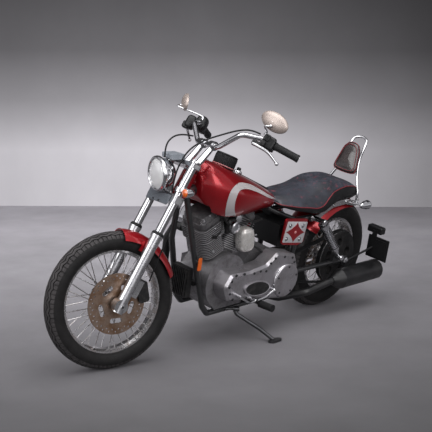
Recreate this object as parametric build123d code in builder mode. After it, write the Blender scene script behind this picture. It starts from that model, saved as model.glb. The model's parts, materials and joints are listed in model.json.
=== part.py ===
"""Cruiser motorcycle, parked on its side stand with the bars turned a little to the right.

Every piece is drawn on the upright machine: x runs forward from the rear axle, y to the
rider's left, z up from the ground line. Front end pieces are drawn in the fork's own frame:
x ahead of the legs, y left, z up along the legs from the front axle. At the end the front
end is turned, the whole machine leans onto its stand, and it is centred on its footprint.
"""
from build123d import *
from math import cos, radians, sin, sqrt, tan
import os

os.makedirs("parts", exist_ok=True)

# Stance
wheelbase = 1604.5
rake = 29.5
fork_offset = 64.3
lean = 11.07
steer = -17.59
steering_lock = 36.0
turning_gap = 10.0
seat_gap = 0.3

# Front wheel
front_ring = 283.0
front_crown = 48.0
front_lip = 255.3
front_rim_half = 32.0
front_seat = 244.0
front_drop = 231.0
front_hub_radius = 24.0
front_flange_radius = 39.0
front_flange_place = 30.0
front_axle_radius = 9.5
axle_bore = 10.0
disc_radius = 146.0
disc_thickness = 5.0
front_disc_place = 66.0

# Rear wheel
rear_ring = 258.0
rear_crown = 62.0
rear_lip = 217.0
rear_rim_half = 43.0
rear_seat = 205.0
rear_drop = 191.0
rear_hub_radius = 30.0
rear_flange_radius = 46.0
rear_flange_place = 36.0
rear_axle_radius = 12.5
pulley_radius = 150.0
pulley_place = 84.0
belt_width = 26.0
belt_thickness = 6.0
rear_disc_place = -80.0

# Wire wheels
spoke_count = 40
spoke_radius = 2.2
spoke_sweep = 58.0
rim_wall = 5.0
bearing_gap = 0.5

# Fork
fork_half = 105.0
tube_radius = 20.5
slider_radius = 27.0
slider_top = 369.0
slider_foot = -34.0
fork_top = 746.0
lower_tree = 535.0
lower_tree_height = 40.0
upper_tree = 722.0
upper_tree_height = 22.0
stem_radius = 13.0
front_axle_half = fork_half + slider_radius + 3
neck_radius = 34.0

# Engine
crank_x = 935.0
crank_z = 350.0
cylinder_tilt = 22.5
case_half = 88.0
primary_inner = 104.0
primary_outer = 190.0
case_top = 470.0
cam_cover_depth = 44.0
case_back = crank_x - 145.0
belt_front = (crank_x - 371.0, 318.0)
belt_front_radius = 44.0

# Chassis tubes
cradle_radius = 15.0
backbone_radius = 26.0
rail_half = 92.0

rake_cos = cos(radians(rake))
rake_sin = sin(radians(rake))
lean_cos = cos(radians(lean))
lean_sin = sin(radians(lean))

# The front axle stands at the height at which both tyres touch one floor.
turn_home = Axis((0, 0, 0), (-rake_sin, 0, rake_cos))
axle_offset = (Vector(rake_cos, 0, rake_sin) * fork_offset).rotate(turn_home, steer)
axle_line = Vector(0, 1, 0).rotate(turn_home, steer).rotate(Axis.X, -lean)
rear_lowest = -rear_crown * (1 - lean_cos)
front_reach = front_ring * sqrt(1 - axle_line.Z**2) + front_crown
rear_axle_height = rear_ring + rear_crown
front_axle_height = (
    (rear_lowest + front_reach + axle_offset.Y * lean_sin) / lean_cos
    + fork_offset * rake_sin
    - axle_offset.Z
)

FORK = Plane(
    origin=(wheelbase, 0, front_axle_height),
    x_dir=(rake_cos, 0, rake_sin),
    z_dir=(-rake_sin, 0, rake_cos),
)
steering_axis = Axis(FORK.from_local_coords(Vector(-fork_offset, 0, 0)), FORK.z_dir)
front_axle = Vector(wheelbase, 0, front_axle_height)
rear_axle = Vector(0, 0, rear_axle_height)
crank = Vector(crank_x, 0, crank_z)


def behind_head(height, back):
    """Place x of a point at some distance behind the steering axis, at one height."""
    foot = steering_axis.position
    return foot.X - (height - foot.Z) * tan(radians(rake)) - back


def on_left(y):
    """Plane of the side view at a distance to the left: sketch x forward and z up."""
    return Plane.XZ.offset(-y)


def spoke_plane(centre, angle):
    """Plane through a wheel's axle: sketch x is sideways and y is the radius at an angle."""
    a = radians(angle)
    return Plane(origin=centre, x_dir=(0, 1, 0), z_dir=(sin(a), 0, -cos(a)))


def add_rod(start, end, radius, mode=Mode.ADD):
    """Round bar between two points."""
    span = Vector(end) - Vector(start)
    with Locations(Plane(origin=start, z_dir=span)):
        Cylinder(radius, span.length, align=(Align.CENTER, Align.CENTER, Align.MIN), mode=mode)


def add_tube(route, radius, bend, mode=Mode.ADD):
    """Round tube along straight runs joined by tangent bends."""
    with BuildLine() as path:
        FilletPolyline(*route, radius=bend)
    with BuildSketch(Plane(origin=path.line @ 0, z_dir=path.line % 0)) as section:
        Circle(radius)
    sweep(sections=section.sketch, path=path.line, mode=mode)


def both_sides(route):
    """The same route on the left and on the right."""
    return [route, [(x, -y, z) for x, y, z in route]]


pieces = []


def keep(piece, label, turned=False, in_fork=False):
    """Label a finished piece and note the frame that it was drawn in."""
    piece.part.label = label
    pieces.append((piece, label, turned or in_fork, in_fork))


# Tyres and wheels
def tyre_section(plane, ring, crown, lip, seat, bead):
    """Round crown above the rim's lips, and the bead between them."""
    with BuildSketch(plane) as section:
        with Locations((0, ring)):
            Circle(crown)
        with Locations((0, lip)):
            Rectangle(4 * crown, 4 * crown, align=(Align.CENTER, Align.MAX), mode=Mode.SUBTRACT)
        with Locations((0, seat)):
            Rectangle(2 * bead, lip - seat + 2, align=(Align.CENTER, Align.MIN))
    return section.sketch


def rim_section(plane, lip, half, seat, drop):
    """Flanged rim with its dropped centre, closed under the tyre."""
    with BuildSketch(plane) as section:
        with BuildLine():
            Polyline(
                (-half, lip), (-half + rim_wall, lip), (-half + rim_wall, seat),
                (half - rim_wall, seat), (half - rim_wall, lip), (half, lip),
                (half, seat - rim_wall), (0.45 * half, drop), (-0.45 * half, drop),
                (-half, seat - rim_wall), close=True,
            )
        make_face()
    return section.sketch


def spoke_ends(centre, rim_radius, hub_radius, place, count):
    """Laced spokes: like pairs of sides and of directions follow each other round the rim."""
    ends = []
    for k in range(count):
        side = 1 if k % 2 == 0 else -1
        sweep_way = 1 if (k // 2) % 2 == 0 else -1
        at_rim = radians(360 / count * k)
        at_hub = at_rim + radians(sweep_way * spoke_sweep)
        rim_end = centre + Vector(rim_radius * cos(at_rim), side * 4, rim_radius * sin(at_rim))
        hub_end = centre + Vector(hub_radius * cos(at_hub), side * place, hub_radius * sin(at_hub))
        ends.append((hub_end, rim_end))
    return ends


def add_spokes(ends):
    """All spokes of one wheel have one length, so they are set in one step."""
    length = (ends[0][1] - ends[0][0]).length
    with Locations(*[Plane(origin=a, z_dir=b - a) for a, b in ends]):
        Cylinder(spoke_radius, length, align=(Align.CENTER, Align.CENTER, Align.MIN))


def add_disc_of_revolution(centre, outline):
    """Turn an outline of (side, radius) points about the axle."""
    with BuildSketch(spoke_plane(centre, 0)) as section:
        with BuildLine():
            Polyline(*outline, close=True)
        make_face()
    revolve(section.sketch, axis=Axis(centre, (0, 1, 0)), revolution_arc=360)


with BuildPart() as front_tyre:
    revolve(tyre_section(spoke_plane(front_axle, 0), front_ring, front_crown, front_lip,
                         front_seat, front_rim_half - rim_wall),
            axis=Axis(front_axle, (0, 1, 0)), revolution_arc=360)
keep(front_tyre, "front_tyre", turned=True)

with BuildPart() as front_wheel:
    revolve(rim_section(spoke_plane(front_axle, 0), front_lip, front_rim_half, front_seat, front_drop),
            axis=Axis(front_axle, (0, 1, 0)), revolution_arc=360)
    add_disc_of_revolution(front_axle, [
        (-70, 0), (-70, 20), (-40, front_hub_radius - 3), (-front_flange_place - 3, front_flange_radius),
        (-front_flange_place + 3, front_flange_radius), (-front_flange_place + 8, front_hub_radius),
        (front_flange_place - 8, front_hub_radius), (front_flange_place - 3, front_flange_radius),
        (front_flange_place + 3, front_flange_radius), (40, front_hub_radius),
        (56, front_hub_radius), (front_disc_place - disc_thickness / 2, front_flange_radius),
        (front_disc_place - disc_thickness / 2, 0),
    ])
    add_spokes(spoke_ends(front_axle, front_drop + 3, front_flange_radius - 5,
                          front_flange_place, spoke_count))
    with Locations(Plane(origin=front_axle, z_dir=(0, 1, 0))):
        Cylinder(front_axle_radius + bearing_gap, 300, mode=Mode.SUBTRACT)
keep(front_wheel, "front_wheel", turned=True)

with BuildPart() as rear_tyre:
    revolve(tyre_section(spoke_plane(rear_axle, 0), rear_ring, rear_crown, rear_lip,
                         rear_seat, rear_rim_half - rim_wall),
            axis=Axis(rear_axle, (0, 1, 0)), revolution_arc=360)
keep(rear_tyre, "rear_tyre")

with BuildPart() as rear_wheel:
    revolve(rim_section(spoke_plane(rear_axle, 0), rear_lip, rear_rim_half, rear_seat, rear_drop),
            axis=Axis(rear_axle, (0, 1, 0)), revolution_arc=360)
    add_disc_of_revolution(rear_axle, [
        (rear_disc_place + disc_thickness / 2, 0), (rear_disc_place + disc_thickness / 2, 40),
        (-rear_flange_place - 3, rear_flange_radius), (-rear_flange_place + 3, rear_flange_radius),
        (-rear_flange_place + 9, rear_hub_radius), (rear_flange_place - 9, rear_hub_radius),
        (rear_flange_place - 3, rear_flange_radius), (rear_flange_place + 3, rear_flange_radius),
        (pulley_place - belt_width / 2 - 2, 44), (pulley_place - belt_width / 2 - 2, 0),
    ])
    add_spokes(spoke_ends(rear_axle, rear_drop + 3, rear_flange_radius - 5,
                          rear_flange_place, spoke_count))
    with Locations(Plane(origin=rear_axle, z_dir=(0, 1, 0))):
        Cylinder(rear_axle_radius + bearing_gap, 300, mode=Mode.SUBTRACT)
keep(rear_wheel, "rear_wheel")

# Brake discs and belt pulley
hole_rows = [(134.0, 4.0, 24, 0.0), (122.0, 4.0, 24, 7.5)]


def add_brake_disc(centre, place, inner):
    """Drilled ring on a slotted carrier. Rows of holes: circle radius, hole radius, count, start."""
    plane = Plane(origin=centre + Vector(0, place, 0), x_dir=(1, 0, 0), z_dir=(0, 1, 0))
    with BuildSketch(plane) as ring:
        Circle(disc_radius)
        Circle(inner, mode=Mode.SUBTRACT)
        for circle, hole, count, start in hole_rows:
            with PolarLocations(circle, count, start_angle=start):
                Circle(hole, mode=Mode.SUBTRACT)
        with PolarLocations(80, 5, start_angle=18):
            SlotCenterToCenter(38, 24, rotation=90, mode=Mode.SUBTRACT)
    extrude(ring.sketch, amount=disc_thickness / 2, both=True)


with BuildPart() as front_disc:
    add_brake_disc(front_axle, front_disc_place, front_axle_radius + 3)
keep(front_disc, "front_disc", turned=True)

with BuildPart() as rear_disc:
    add_brake_disc(rear_axle, rear_disc_place, rear_axle_radius + 3)
keep(rear_disc, "rear_disc")

with BuildPart() as rear_pulley:
    with BuildSketch(Plane(origin=rear_axle + Vector(0, pulley_place, 0), z_dir=(0, 1, 0))):
        Circle(pulley_radius)
        Circle(rear_axle_radius + 3, mode=Mode.SUBTRACT)
        with PolarLocations(88, 5):
            Circle(24, mode=Mode.SUBTRACT)
    extrude(amount=belt_width / 2 + 2, both=True)
keep(rear_pulley, "rear_pulley")

# Fork, in the fork's own frame
fork_rows = [1, -1]

with BuildPart() as fork_sliders:
    for side in fork_rows:
        with Locations((0, side * fork_half, slider_foot)):
            Cylinder(slider_radius, slider_top - slider_foot, align=(Align.CENTER, Align.CENTER, Align.MIN))
        with Locations(Plane(origin=(4, side * fork_half, 0), z_dir=(0, 1, 0))):
            Cylinder(34, 44)
    for side in fork_rows:
        with Locations((0, side * fork_half, slider_top - 14)):
            Cylinder(slider_radius + 3, 14, align=(Align.CENTER, Align.CENTER, Align.MIN))
    with Locations((-40, fork_half - 12, 105)):
        Box(40, 22, 86)
    with Locations(Plane(origin=(0, 0, 0), z_dir=(0, 1, 0))):
        Cylinder(front_axle_radius, 400, mode=Mode.SUBTRACT)
keep(fork_sliders, "fork_sliders", in_fork=True)

with BuildPart() as fork_tubes:
    for side in fork_rows:
        with Locations((0, side * fork_half, slider_top)):
            Cylinder(tube_radius, fork_top - slider_top, align=(Align.CENTER, Align.CENTER, Align.MIN))
keep(fork_tubes, "fork_tubes", in_fork=True)

with BuildPart() as triple_trees:
    for level, height in ((lower_tree, lower_tree_height), (upper_tree, upper_tree_height)):
        with BuildSketch(Plane.XY.offset(level)):
            with BuildLine():
                Polyline((-fork_offset - 22, -26), (-28, -fork_half - 24), (22, -fork_half - 20),
                         (26, -60), (26, 60), (22, fork_half + 20), (-28, fork_half + 24),
                         (-fork_offset - 22, 26), close=True)
            make_face()
            fillet(vertices(), 12)
            for side in fork_rows:
                with Locations((0, side * fork_half)):
                    Circle(tube_radius, mode=Mode.SUBTRACT)
        extrude(amount=height)
    with Locations((-fork_offset, 0, lower_tree)):
        Cylinder(stem_radius, upper_tree + upper_tree_height - lower_tree,
                 align=(Align.CENTER, Align.CENTER, Align.MIN))
keep(triple_trees, "triple_trees", in_fork=True)

with BuildPart() as front_axle_piece:
    with BuildSketch(Plane.XZ):
        Circle(front_axle_radius)
        Circle(axle_bore / 2, mode=Mode.SUBTRACT)
    extrude(amount=front_axle_half, both=True)
keep(front_axle_piece, "front_axle", in_fork=True)

caliper_outer = fork_half - 23 - seat_gap - front_disc_place
with BuildPart() as front_caliper:
    with BuildSketch(Plane.XZ.offset(-front_disc_place)):
        with Locations((-92, 106)):
            RectangleRounded(56, 104, 16, rotation=-40)
    extrude(amount=32)
    with BuildSketch(Plane.XZ.offset(-front_disc_place)):
        with Locations((-92, 106)):
            RectangleRounded(56, 104, 16, rotation=-40)
    extrude(amount=-caliper_outer)
    with Locations(Plane(origin=(0, front_disc_place, 0), z_dir=(0, 1, 0))):
        Cylinder(disc_radius + 6, disc_thickness + 10, mode=Mode.SUBTRACT)
keep(front_caliper, "front_caliper", in_fork=True)

# Fenders
fender_wall = 4.0


def fender_section(plane, radius, half, side, inner=None):
    """Crowned shell across a fender, or the whole space under it."""
    wall = inner or 0
    with BuildSketch(plane) as section:
        with BuildLine():
            ThreePointArc((-half, radius - side), (0, radius), (half, radius - side))
            Line((half, radius - side), (half - wall, radius - side))
            if inner:
                ThreePointArc((half - wall, radius - side), (0, radius - wall), (wall - half, radius - side))
                Line((wall - half, radius - side), (-half, radius - side))
            else:
                Line((half, radius - side), (-half, radius - side))
        make_face()
    return section.sketch


front_fender_half = 66.0
front_fender_side = 46.0
front_fender_radius = front_ring + front_crown + turning_gap + 4
with BuildPart() as front_fender:
    plane = Plane(origin=(0, 0, 0), x_dir=(0, 1, 0), z_dir=(sin(radians(68)), 0, -cos(radians(68))))
    revolve(fender_section(plane, front_fender_radius, front_fender_half, front_fender_side, fender_wall),
            axis=Axis((0, 0, 0), (0, -1, 0)), revolution_arc=64)
    for side in fork_rows:
        with Locations((-6, side * 69, 292)):
            Box(60, 18, 50)
keep(front_fender, "front_fender", in_fork=True)

# Headlight
lamp_radius = 73.0
lamp_depth = 86.0
LAMP = Plane(origin=(92, 0, 627), x_dir=(0, 1, 0), z_dir=(rake_cos, 0, -rake_sin))


def turn_about_lamp(outline):
    """Turn an outline of (radius, along) points, starting and ending on the lamp's axis."""
    with BuildSketch(Plane(origin=LAMP.origin, x_dir=LAMP.x_dir, z_dir=LAMP.y_dir * -1)) as section:
        with BuildLine():
            Polyline(*outline, close=True)
        make_face()
    revolve(section.sketch, axis=Axis(LAMP.origin, LAMP.z_dir), revolution_arc=360)


with BuildPart() as headlight_shell:
    turn_about_lamp([(0, -lamp_depth), (34, -lamp_depth + 4), (62, -lamp_depth + 26), (76, -40),
                     (78, -14), (82, -12), (82, 4), (lamp_radius, 8), (lamp_radius, -6), (0, -6)])
    with Locations((6, 0, 600)):
        Box(34, 30, 50)
keep(headlight_shell, "headlight_shell", in_fork=True)

with BuildPart() as headlight_lens:
    turn_about_lamp([(0, -6), (lamp_radius, -6), (lamp_radius, 7), (58, 12), (36, 16), (0, 18)])
keep(headlight_lens, "headlight_lens", in_fork=True)

# Blank bar across the fork, instrument box and signals
with BuildPart() as fork_bar:
    with Locations((30, 0, 538)):
        Box(8, 190, 50)
    fillet(fork_bar.edges().filter_by(Axis.X), 8)
keep(fork_bar, "fork_bar", in_fork=True)

with BuildPart() as instrument_box:
    with Locations(Plane(origin=(60, 0, 740), x_dir=(rake_cos, 0, -rake_sin), z_dir=(rake_sin, 0, rake_cos))):
        Box(70, 96, 26)
    fillet(instrument_box.edges().filter_by(Axis.Y), 6)
keep(instrument_box, "instrument_box", in_fork=True)

signal_reach = 168.0
with BuildPart() as front_signals:
    for side in fork_rows:
        with BuildSketch(Plane.XY.offset(588)):
            with Locations((0, side * fork_half)):
                Circle(tube_radius + 7)
                Circle(tube_radius, mode=Mode.SUBTRACT)
        extrude(amount=26)
        add_rod((4, side * (fork_half + tube_radius + 3), 601), (4, side * (signal_reach - 20), 601), 7)
        with BuildSketch(Plane(origin=(4, side * signal_reach, 601), x_dir=(rake_cos, 0, -rake_sin),
                               z_dir=(0, 1, 0))) as bullet:
            with BuildLine():
                Polyline((-44, 0), (-30, 16), (0, 25), (24, 27), (32, 24), (38, 12), (40, 0), close=True)
            make_face()
        revolve(bullet.sketch, axis=Axis((4, side * signal_reach, 601), (rake_cos, 0, -rake_sin)),
                revolution_arc=360)
keep(front_signals, "front_signals", in_fork=True)

# Handlebar and its fittings
bar_radius = 12.7
bar_bend = 45.0
grip_radius = 18.0
bar_half = [(-87, 0, 877), (-80, 92, 872), (-84, 214, 962), (-150, 272, 984), (-306, 400, 977)]
bar_route = [(x, -y, z) for x, y, z in reversed(bar_half[1:])] + bar_half[1:]
with BuildPart() as handlebar:
    add_tube(bar_route, bar_radius, bar_bend)
keep(handlebar, "handlebar", in_fork=True)

grip_end = Vector(*bar_half[4])
grip_way = (Vector(*bar_half[3]) - grip_end).normalized()


def mirrored(point, side):
    return Vector(point.X, side * point.Y, point.Z)


def add_sleeve(side, near, far, radius):
    """Sleeve on the straight end of the bar, from one distance from its end to another."""
    start = mirrored(grip_end + grip_way * near, side)
    finish = mirrored(grip_end + grip_way * far, side)
    span = finish - start
    with BuildSketch(Plane(origin=start, z_dir=span)) as ring:
        Circle(radius)
        Circle(bar_radius, mode=Mode.SUBTRACT)
    extrude(ring.sketch, amount=span.length)


with BuildPart() as risers:
    for side in fork_rows:
        with BuildSketch(Plane.XY.offset(upper_tree + upper_tree_height)) as foot:
            with Locations((-48, side * 46)):
                Circle(19)
        with BuildSketch(Plane.XY.offset(862)) as neck:
            with Locations((bar_half[1][0], side * 46)):
                Circle(15)
        loft([foot.sketch, neck.sketch])
        with Locations(Plane(origin=(bar_half[1][0], side * 46, bar_half[1][2]), z_dir=(0, 1, 0))):
            Cylinder(bar_radius + 10, 34)
    with Locations(Plane(origin=(bar_half[1][0], 0, bar_half[1][2]), z_dir=(0, 1, 0))):
        Cylinder(bar_radius, 200, mode=Mode.SUBTRACT)
keep(risers, "risers", in_fork=True)

with BuildPart() as grips:
    for side in fork_rows:
        add_sleeve(side, 1, 126, grip_radius)
keep(grips, "grips", in_fork=True)

with BuildPart() as switch_housings:
    for side in fork_rows:
        add_sleeve(side, 128, 172, 27)
keep(switch_housings, "switch_housings", in_fork=True)

lever_front = Vector(0.8, 0.0, -0.6)
with BuildPart() as levers:
    for side in fork_rows:
        root = mirrored(grip_end + grip_way * 182, side)
        add_sleeve(side, 173, 190, 22)
        ahead = Vector(abs(grip_way.Y), side * abs(grip_way.X), 0).normalized()
        start = root + ahead * 33 + Vector(0, 0, -15)
        middle = mirrored(grip_end + grip_way * 110, side) + Vector(62, side * 10, -42)
        tip = mirrored(grip_end + grip_way * 14, side) + Vector(40, side * 26, -62)
        add_rod(root + ahead * 16 + Vector(0, 0, -8), start, 8)
        add_tube([start, middle, tip], 5.5, 40)
keep(levers, "levers", in_fork=True)

with BuildPart() as mirrors:
    for side in fork_rows:
        base = mirrored(grip_end + grip_way * 150, side) + Vector(0, 0, 27 + seat_gap)
        foot = base + Vector(0, 0, 5)
        add_rod(base, base + Vector(0, 0, 10), 8)
        head = Vector(-96, side * 396, 1058)
        face = Plane(origin=head, x_dir=(0, 1, 0), z_dir=(-0.86, -0.18 * side, 0.45))
        add_tube([foot, Vector(-120, side * 318, 1030), head], 5, 20)
        with BuildSketch(face):
            Ellipse(74, 48)
        extrude(amount=-12)
        with BuildSketch(face):
            Ellipse(74, 48)
        extrude(amount=14, taper=34)
keep(mirrors, "mirrors", in_fork=True)

# Cables, from housing to housing
cable_radius = 4.0
cable_routes = [
    [(103, 10, 709.4), (132, 12, 756), (118, 6, 812), (64, -8, 852), (0, -24, 872)],
    [(16, 68, 580), (46, 74, 650), (58, 80, 720), (54, 90, 792), (18, 112, 862), (-30, 150, 922),
     (-66, 200, 972), (-104, 246, 1002), (-134, 280, 1000)],
]
with BuildPart() as cables:
    for route in cable_routes:
        add_tube(route, cable_radius, 24)
keep(cables, "cables", in_fork=True)

hose_route = [(-34, 88, 533.7), (-40, 104, 470), (-48, 112, 400), (-58, 110, 320), (-72, 100, 240), (-92, 84, 164)]
with BuildPart() as brake_hose:
    add_tube(hose_route, 3.5, 24)
keep(brake_hose, "brake_hose", in_fork=True)

# Pin of the side stand
stand_pivot = Vector(860, 136, 196)
stand_folded_way = Vector(-0.985, 0.07, -0.13)
stand_pin_tilt = 60.0
stand_pin_radius = 7.0
stand_eye_radius = 15.0
stand_eye_half = 12.0
stand_foot = (742, 323, 0)


def lean_over(point):
    """A point of the upright machine once it leans to the left."""
    x, y, z = point
    return (x, y * lean_cos + z * lean_sin, -y * lean_sin + z * lean_cos - rear_lowest)


def stand_upright(point):
    """The upright machine's place for a point of the leaning one."""
    x, y, z = point
    z = z + rear_lowest
    return (x, y * lean_cos - z * lean_sin, y * lean_sin + z * lean_cos)


# The stand swings about a slanting pin, so that the load on its foot holds it open.
stand_open_way = (Vector(*stand_upright(stand_foot)) - stand_pivot).normalized()
stand_between = (stand_open_way + stand_folded_way.normalized()).normalized()
stand_across = stand_open_way.cross(stand_folded_way).normalized()
stand_pin = stand_across * cos(radians(stand_pin_tilt)) + stand_between * sin(radians(stand_pin_tilt))
stand_square_way = (stand_open_way - stand_pin * stand_open_way.dot(stand_pin)).normalized()
stand_head_start = stand_eye_half + seat_gap

# Frame
neck_low = FORK.from_local_coords(Vector(-fork_offset, 0, lower_tree + lower_tree_height + 4))
neck_high = FORK.from_local_coords(Vector(-fork_offset, 0, upper_tree - 4))
backbone = [(behind_head(840, 17.4), 0, 840), (860, 0, 788), (640, 0, 700), (545, 0, 640)]
upright_place = rail_half + 20.0
rail_height = 190.0
cradle = [(behind_head(812, 36.2), 24, 812), (behind_head(560, 222.8), 74, 560),
          (crank_x + 137, rail_half, 235), (crank_x + 95, rail_half, rail_height),
          (540, rail_half, rail_height), (440, upright_place, 228), (436, upright_place, 420),
          (432, upright_place, 590)]
seat_rail = [(600, 0, 676), (530, 50, 640), (430, 93, 602), (292, 93, 602)]
arm_place = 142.0
arm_radius = 13.0
arm_pivot_x = 446.0
arm_pivot_z = 330.0
pivot_half = arm_place - arm_radius - seat_gap
with BuildPart() as frame:
    add_tube(backbone, backbone_radius, 60)
    for route in both_sides(cradle):
        add_tube(route, cradle_radius, 20)
    for route in both_sides(seat_rail):
        add_tube(route, cradle_radius - 2, 20)
    add_rod((arm_pivot_x, -pivot_half, arm_pivot_z), (arm_pivot_x, pivot_half, arm_pivot_z), 20)
    add_rod((600, -rail_half, rail_height), (600, rail_half, rail_height), cradle_radius - 3)
    add_rod(stand_pivot + stand_pin * stand_head_start, stand_pivot - stand_pin * 54, stand_pin_radius)
    add_rod(stand_pivot + stand_pin * stand_head_start, stand_pivot + stand_pin * (stand_head_start + 6),
            stand_eye_radius - 3)
    add_rod(neck_low, neck_high, neck_radius)
    add_rod(neck_low - steering_axis.direction * 20, neck_high + steering_axis.direction * 20,
            stem_radius + bearing_gap, mode=Mode.SUBTRACT)
keep(frame, "frame")

# Engine
cam_cover_radius = 92.0
cam_cover_half = 82.0
cam_cover_top = 85.0


def cam_cover_outline(around):
    """Outline of the cam cover on the right, grown by a gap."""
    with Locations((crank_x + 10, crank_z)):
        Circle(cam_cover_radius + around)
    with Locations((crank_x + 10, crank_z + cam_cover_top / 2)):
        Rectangle(2 * (cam_cover_half + around), cam_cover_top + 2 * around)


with BuildPart() as engine_cases:
    with BuildSketch(on_left(-case_half)):
        with Locations((crank_x, crank_z)):
            Circle(142)
        with BuildLine():
            Polyline((case_back, 205), (crank_x + 55, 205), (crank_x + 117, 280), (crank_x + 131, 400),
                     (crank_x + 75, case_top), (crank_x - 75, case_top), (case_back, 400), close=True)
        make_face()
    extrude(amount=-(case_half + primary_inner))
    with BuildSketch(on_left(-case_half - cam_cover_depth)):
        cam_cover_outline(0)
    extrude(amount=-cam_cover_depth)
keep(engine_cases, "engine_cases")

fin_half = 74.0
with BuildPart() as gearbox:
    with BuildSketch(on_left(-80)):
        with BuildLine():
            Polyline((crank_x - 435, 270), (crank_x - 395, 225), (case_back - seat_gap, 225),
                     (case_back - seat_gap, 400), (crank_x - 195, 452), (crank_x - 375, 452),
                     (crank_x - 435, 400), close=True)
        make_face()
    extrude(amount=-146)
keep(gearbox, "gearbox")


def cylinder_plane(way, along):
    """Plane across a cylinder at a distance from the crank."""
    tilt = radians(way * cylinder_tilt)
    up_line = Vector(sin(tilt), 0, cos(tilt))
    return Plane(origin=crank + up_line * along, x_dir=(cos(tilt), 0, -sin(tilt)), z_dir=up_line)


def make_cylinder(way):
    """Finned barrel and head of one cylinder."""
    with BuildPart() as barrel:
        with BuildSketch(cylinder_plane(way, 110)):
            Circle(58)
        extrude(amount=146)
        with BuildSketch(cylinder_plane(way, 256)):
            RectangleRounded(124, 128, 40)
        extrude(amount=84)
        with BuildSketch(*[cylinder_plane(way, 156 + 10 * k) for k in range(10)]):
            RectangleRounded(2 * fin_half, 2 * fin_half, 46)
        extrude(amount=3)
        with BuildSketch(*[cylinder_plane(way, 262 + 11 * k) for k in range(7)]):
            RectangleRounded(2 * fin_half + 12, 2 * fin_half + 22, 30)
        extrude(amount=3)
        split(bisect_by=Plane.YZ.offset(crank_x + way * 1.5), keep=Keep.TOP if way > 0 else Keep.BOTTOM)
        with BuildSketch(on_left(-200)):
            with Locations((crank_x, crank_z)):
                Circle(142 + seat_gap)
        extrude(amount=-400, mode=Mode.SUBTRACT)
        split(bisect_by=Plane.XY.offset(case_top), keep=Keep.TOP)
        with BuildSketch(cylinder_plane(way, 337)):
            RectangleRounded(134, 156, 26)
        extrude(amount=26)
        with BuildSketch(cylinder_plane(way, 363)):
            RectangleRounded(120, 142, 24)
        extrude(amount=30, taper=10)
    return barrel


for way, name in ((1, "front_cylinder"), (-1, "rear_cylinder")):
    keep(make_cylinder(way), name)

with BuildPart() as pushrod_tubes:
    for way in (1, -1):
        for shift in (-14, 14):
            top_plane = cylinder_plane(way, 338)
            top = top_plane.origin + top_plane.x_dir * shift * 1.6 + Vector(0, -100, 0)
            foot = Vector(crank_x + way * 44 + shift, -108, crank_z + cam_cover_top)
            add_rod(foot - (top - foot).normalized() * 6, top, 9)
    with BuildSketch(on_left(-200)):
        cam_cover_outline(seat_gap)
    extrude(amount=-400, mode=Mode.SUBTRACT)
keep(pushrod_tubes, "pushrod_tubes")

with BuildPart() as intake:
    add_rod((crank_x, 40, 600), (crank_x, -92, 600), 21.5)
    add_rod((crank_x, -90, 600), (crank_x, -152, 600), 30)
    with Locations((crank_x, -118, 556)):
        Cylinder(24, 44)
    with Locations(Plane(origin=(crank_x, -150, 600), z_dir=(0, -1, 0))):
        Cylinder(88, 52, align=(Align.CENTER, Align.CENTER, Align.MIN))
    fillet(intake.faces().sort_by(Axis.Y)[0].edges(), 14)
keep(intake, "intake")

# Primary drive cover on the left
derby_radius = 92.0
# Columns: distance ahead of the crank, height
primary_outline = [(98, 361), (56, 424), (-83, 418), (-204, 432), (-281, 486), (-435, 452), (-466, 383),
                   (-458, 236), (-361, 217), (-170, 250), (58, 280)]
with BuildPart() as primary_cover:
    with BuildSketch(on_left(primary_inner)):
        with BuildLine():
            Polyline(*[(crank_x + ahead, z) for ahead, z in primary_outline], close=True)
        make_face()
        fillet(vertices(), 24)
    extrude(amount=-(primary_outer - primary_inner))
    chamfer(primary_cover.faces().sort_by(Axis.Y)[-1].edges(), 12)
    with BuildSketch(on_left(primary_outer - 1)):
        with Locations((crank_x - 148, 318)):
            Ellipse(104, 40, rotation=8)
    extrude(amount=-7)
    with Locations(Plane(origin=(belt_front[0], primary_outer, belt_front[1] + 4), z_dir=(0, 1, 0))):
        Cylinder(derby_radius, 14, align=(Align.CENTER, Align.CENTER, Align.MIN))
    fillet(primary_cover.faces().sort_by(Axis.Y)[-1].edges(), 8)
keep(primary_cover, "primary_cover")

with BuildPart() as horn:
    with BuildSketch(on_left(98)):
        with Locations((846, 564)):
            RectangleRounded(118, 132, 34)
    extrude(amount=-42)
    fillet(horn.faces().sort_by(Axis.Y)[-1].edges(), 16)
    add_rod((846, fin_half + seat_gap, 564), (846, 99, 564), 12)
keep(horn, "horn")

# Exhaust
muffler_radius = 56.0
pipe_radius = 20.0
muffler_places = {"exhaust_left": 200.0, "exhaust_right": -188.0}
head_side = fin_half + 11 + seat_gap
exhaust_routes = {
    "exhaust_right": [(1098, -head_side, 598), (1098, -138, 598), (1108, -172, 520), (1088, -184, 320),
                      (1000, -184, 215), (440, -184, 215), (150, -188, 243)],
    "exhaust_left": [(772, -head_side, 598), (772, -134, 598), (745, -146, 500), (700, -134, 380),
                     (650, -134, 250), (590, -132, 156), (500, -84, 140), (420, 60, 142),
                     (330, 170, 198), (150, 200, 243)],
}
for name, route in exhaust_routes.items():
    place = muffler_places[name]
    with BuildPart() as pipe:
        add_tube(route, pipe_radius, 30)
        with BuildSketch(Plane(origin=(150, place, 243), x_dir=(-1, 0, 0), z_dir=(0, 1, 0))) as can:
            with BuildLine():
                Polyline((-8, 0), (-8, pipe_radius + 3), (60, muffler_radius), (400, muffler_radius),
                         (412, muffler_radius - 10), (412, 30), (300, 30), (300, 0), close=True)
            make_face()
        revolve(can.sketch, axis=Axis((150, place, 243), (1, 0, 0)), revolution_arc=360)
    keep(pipe, name)

# Fuel tank
tunnel_half = 86.0
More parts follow.
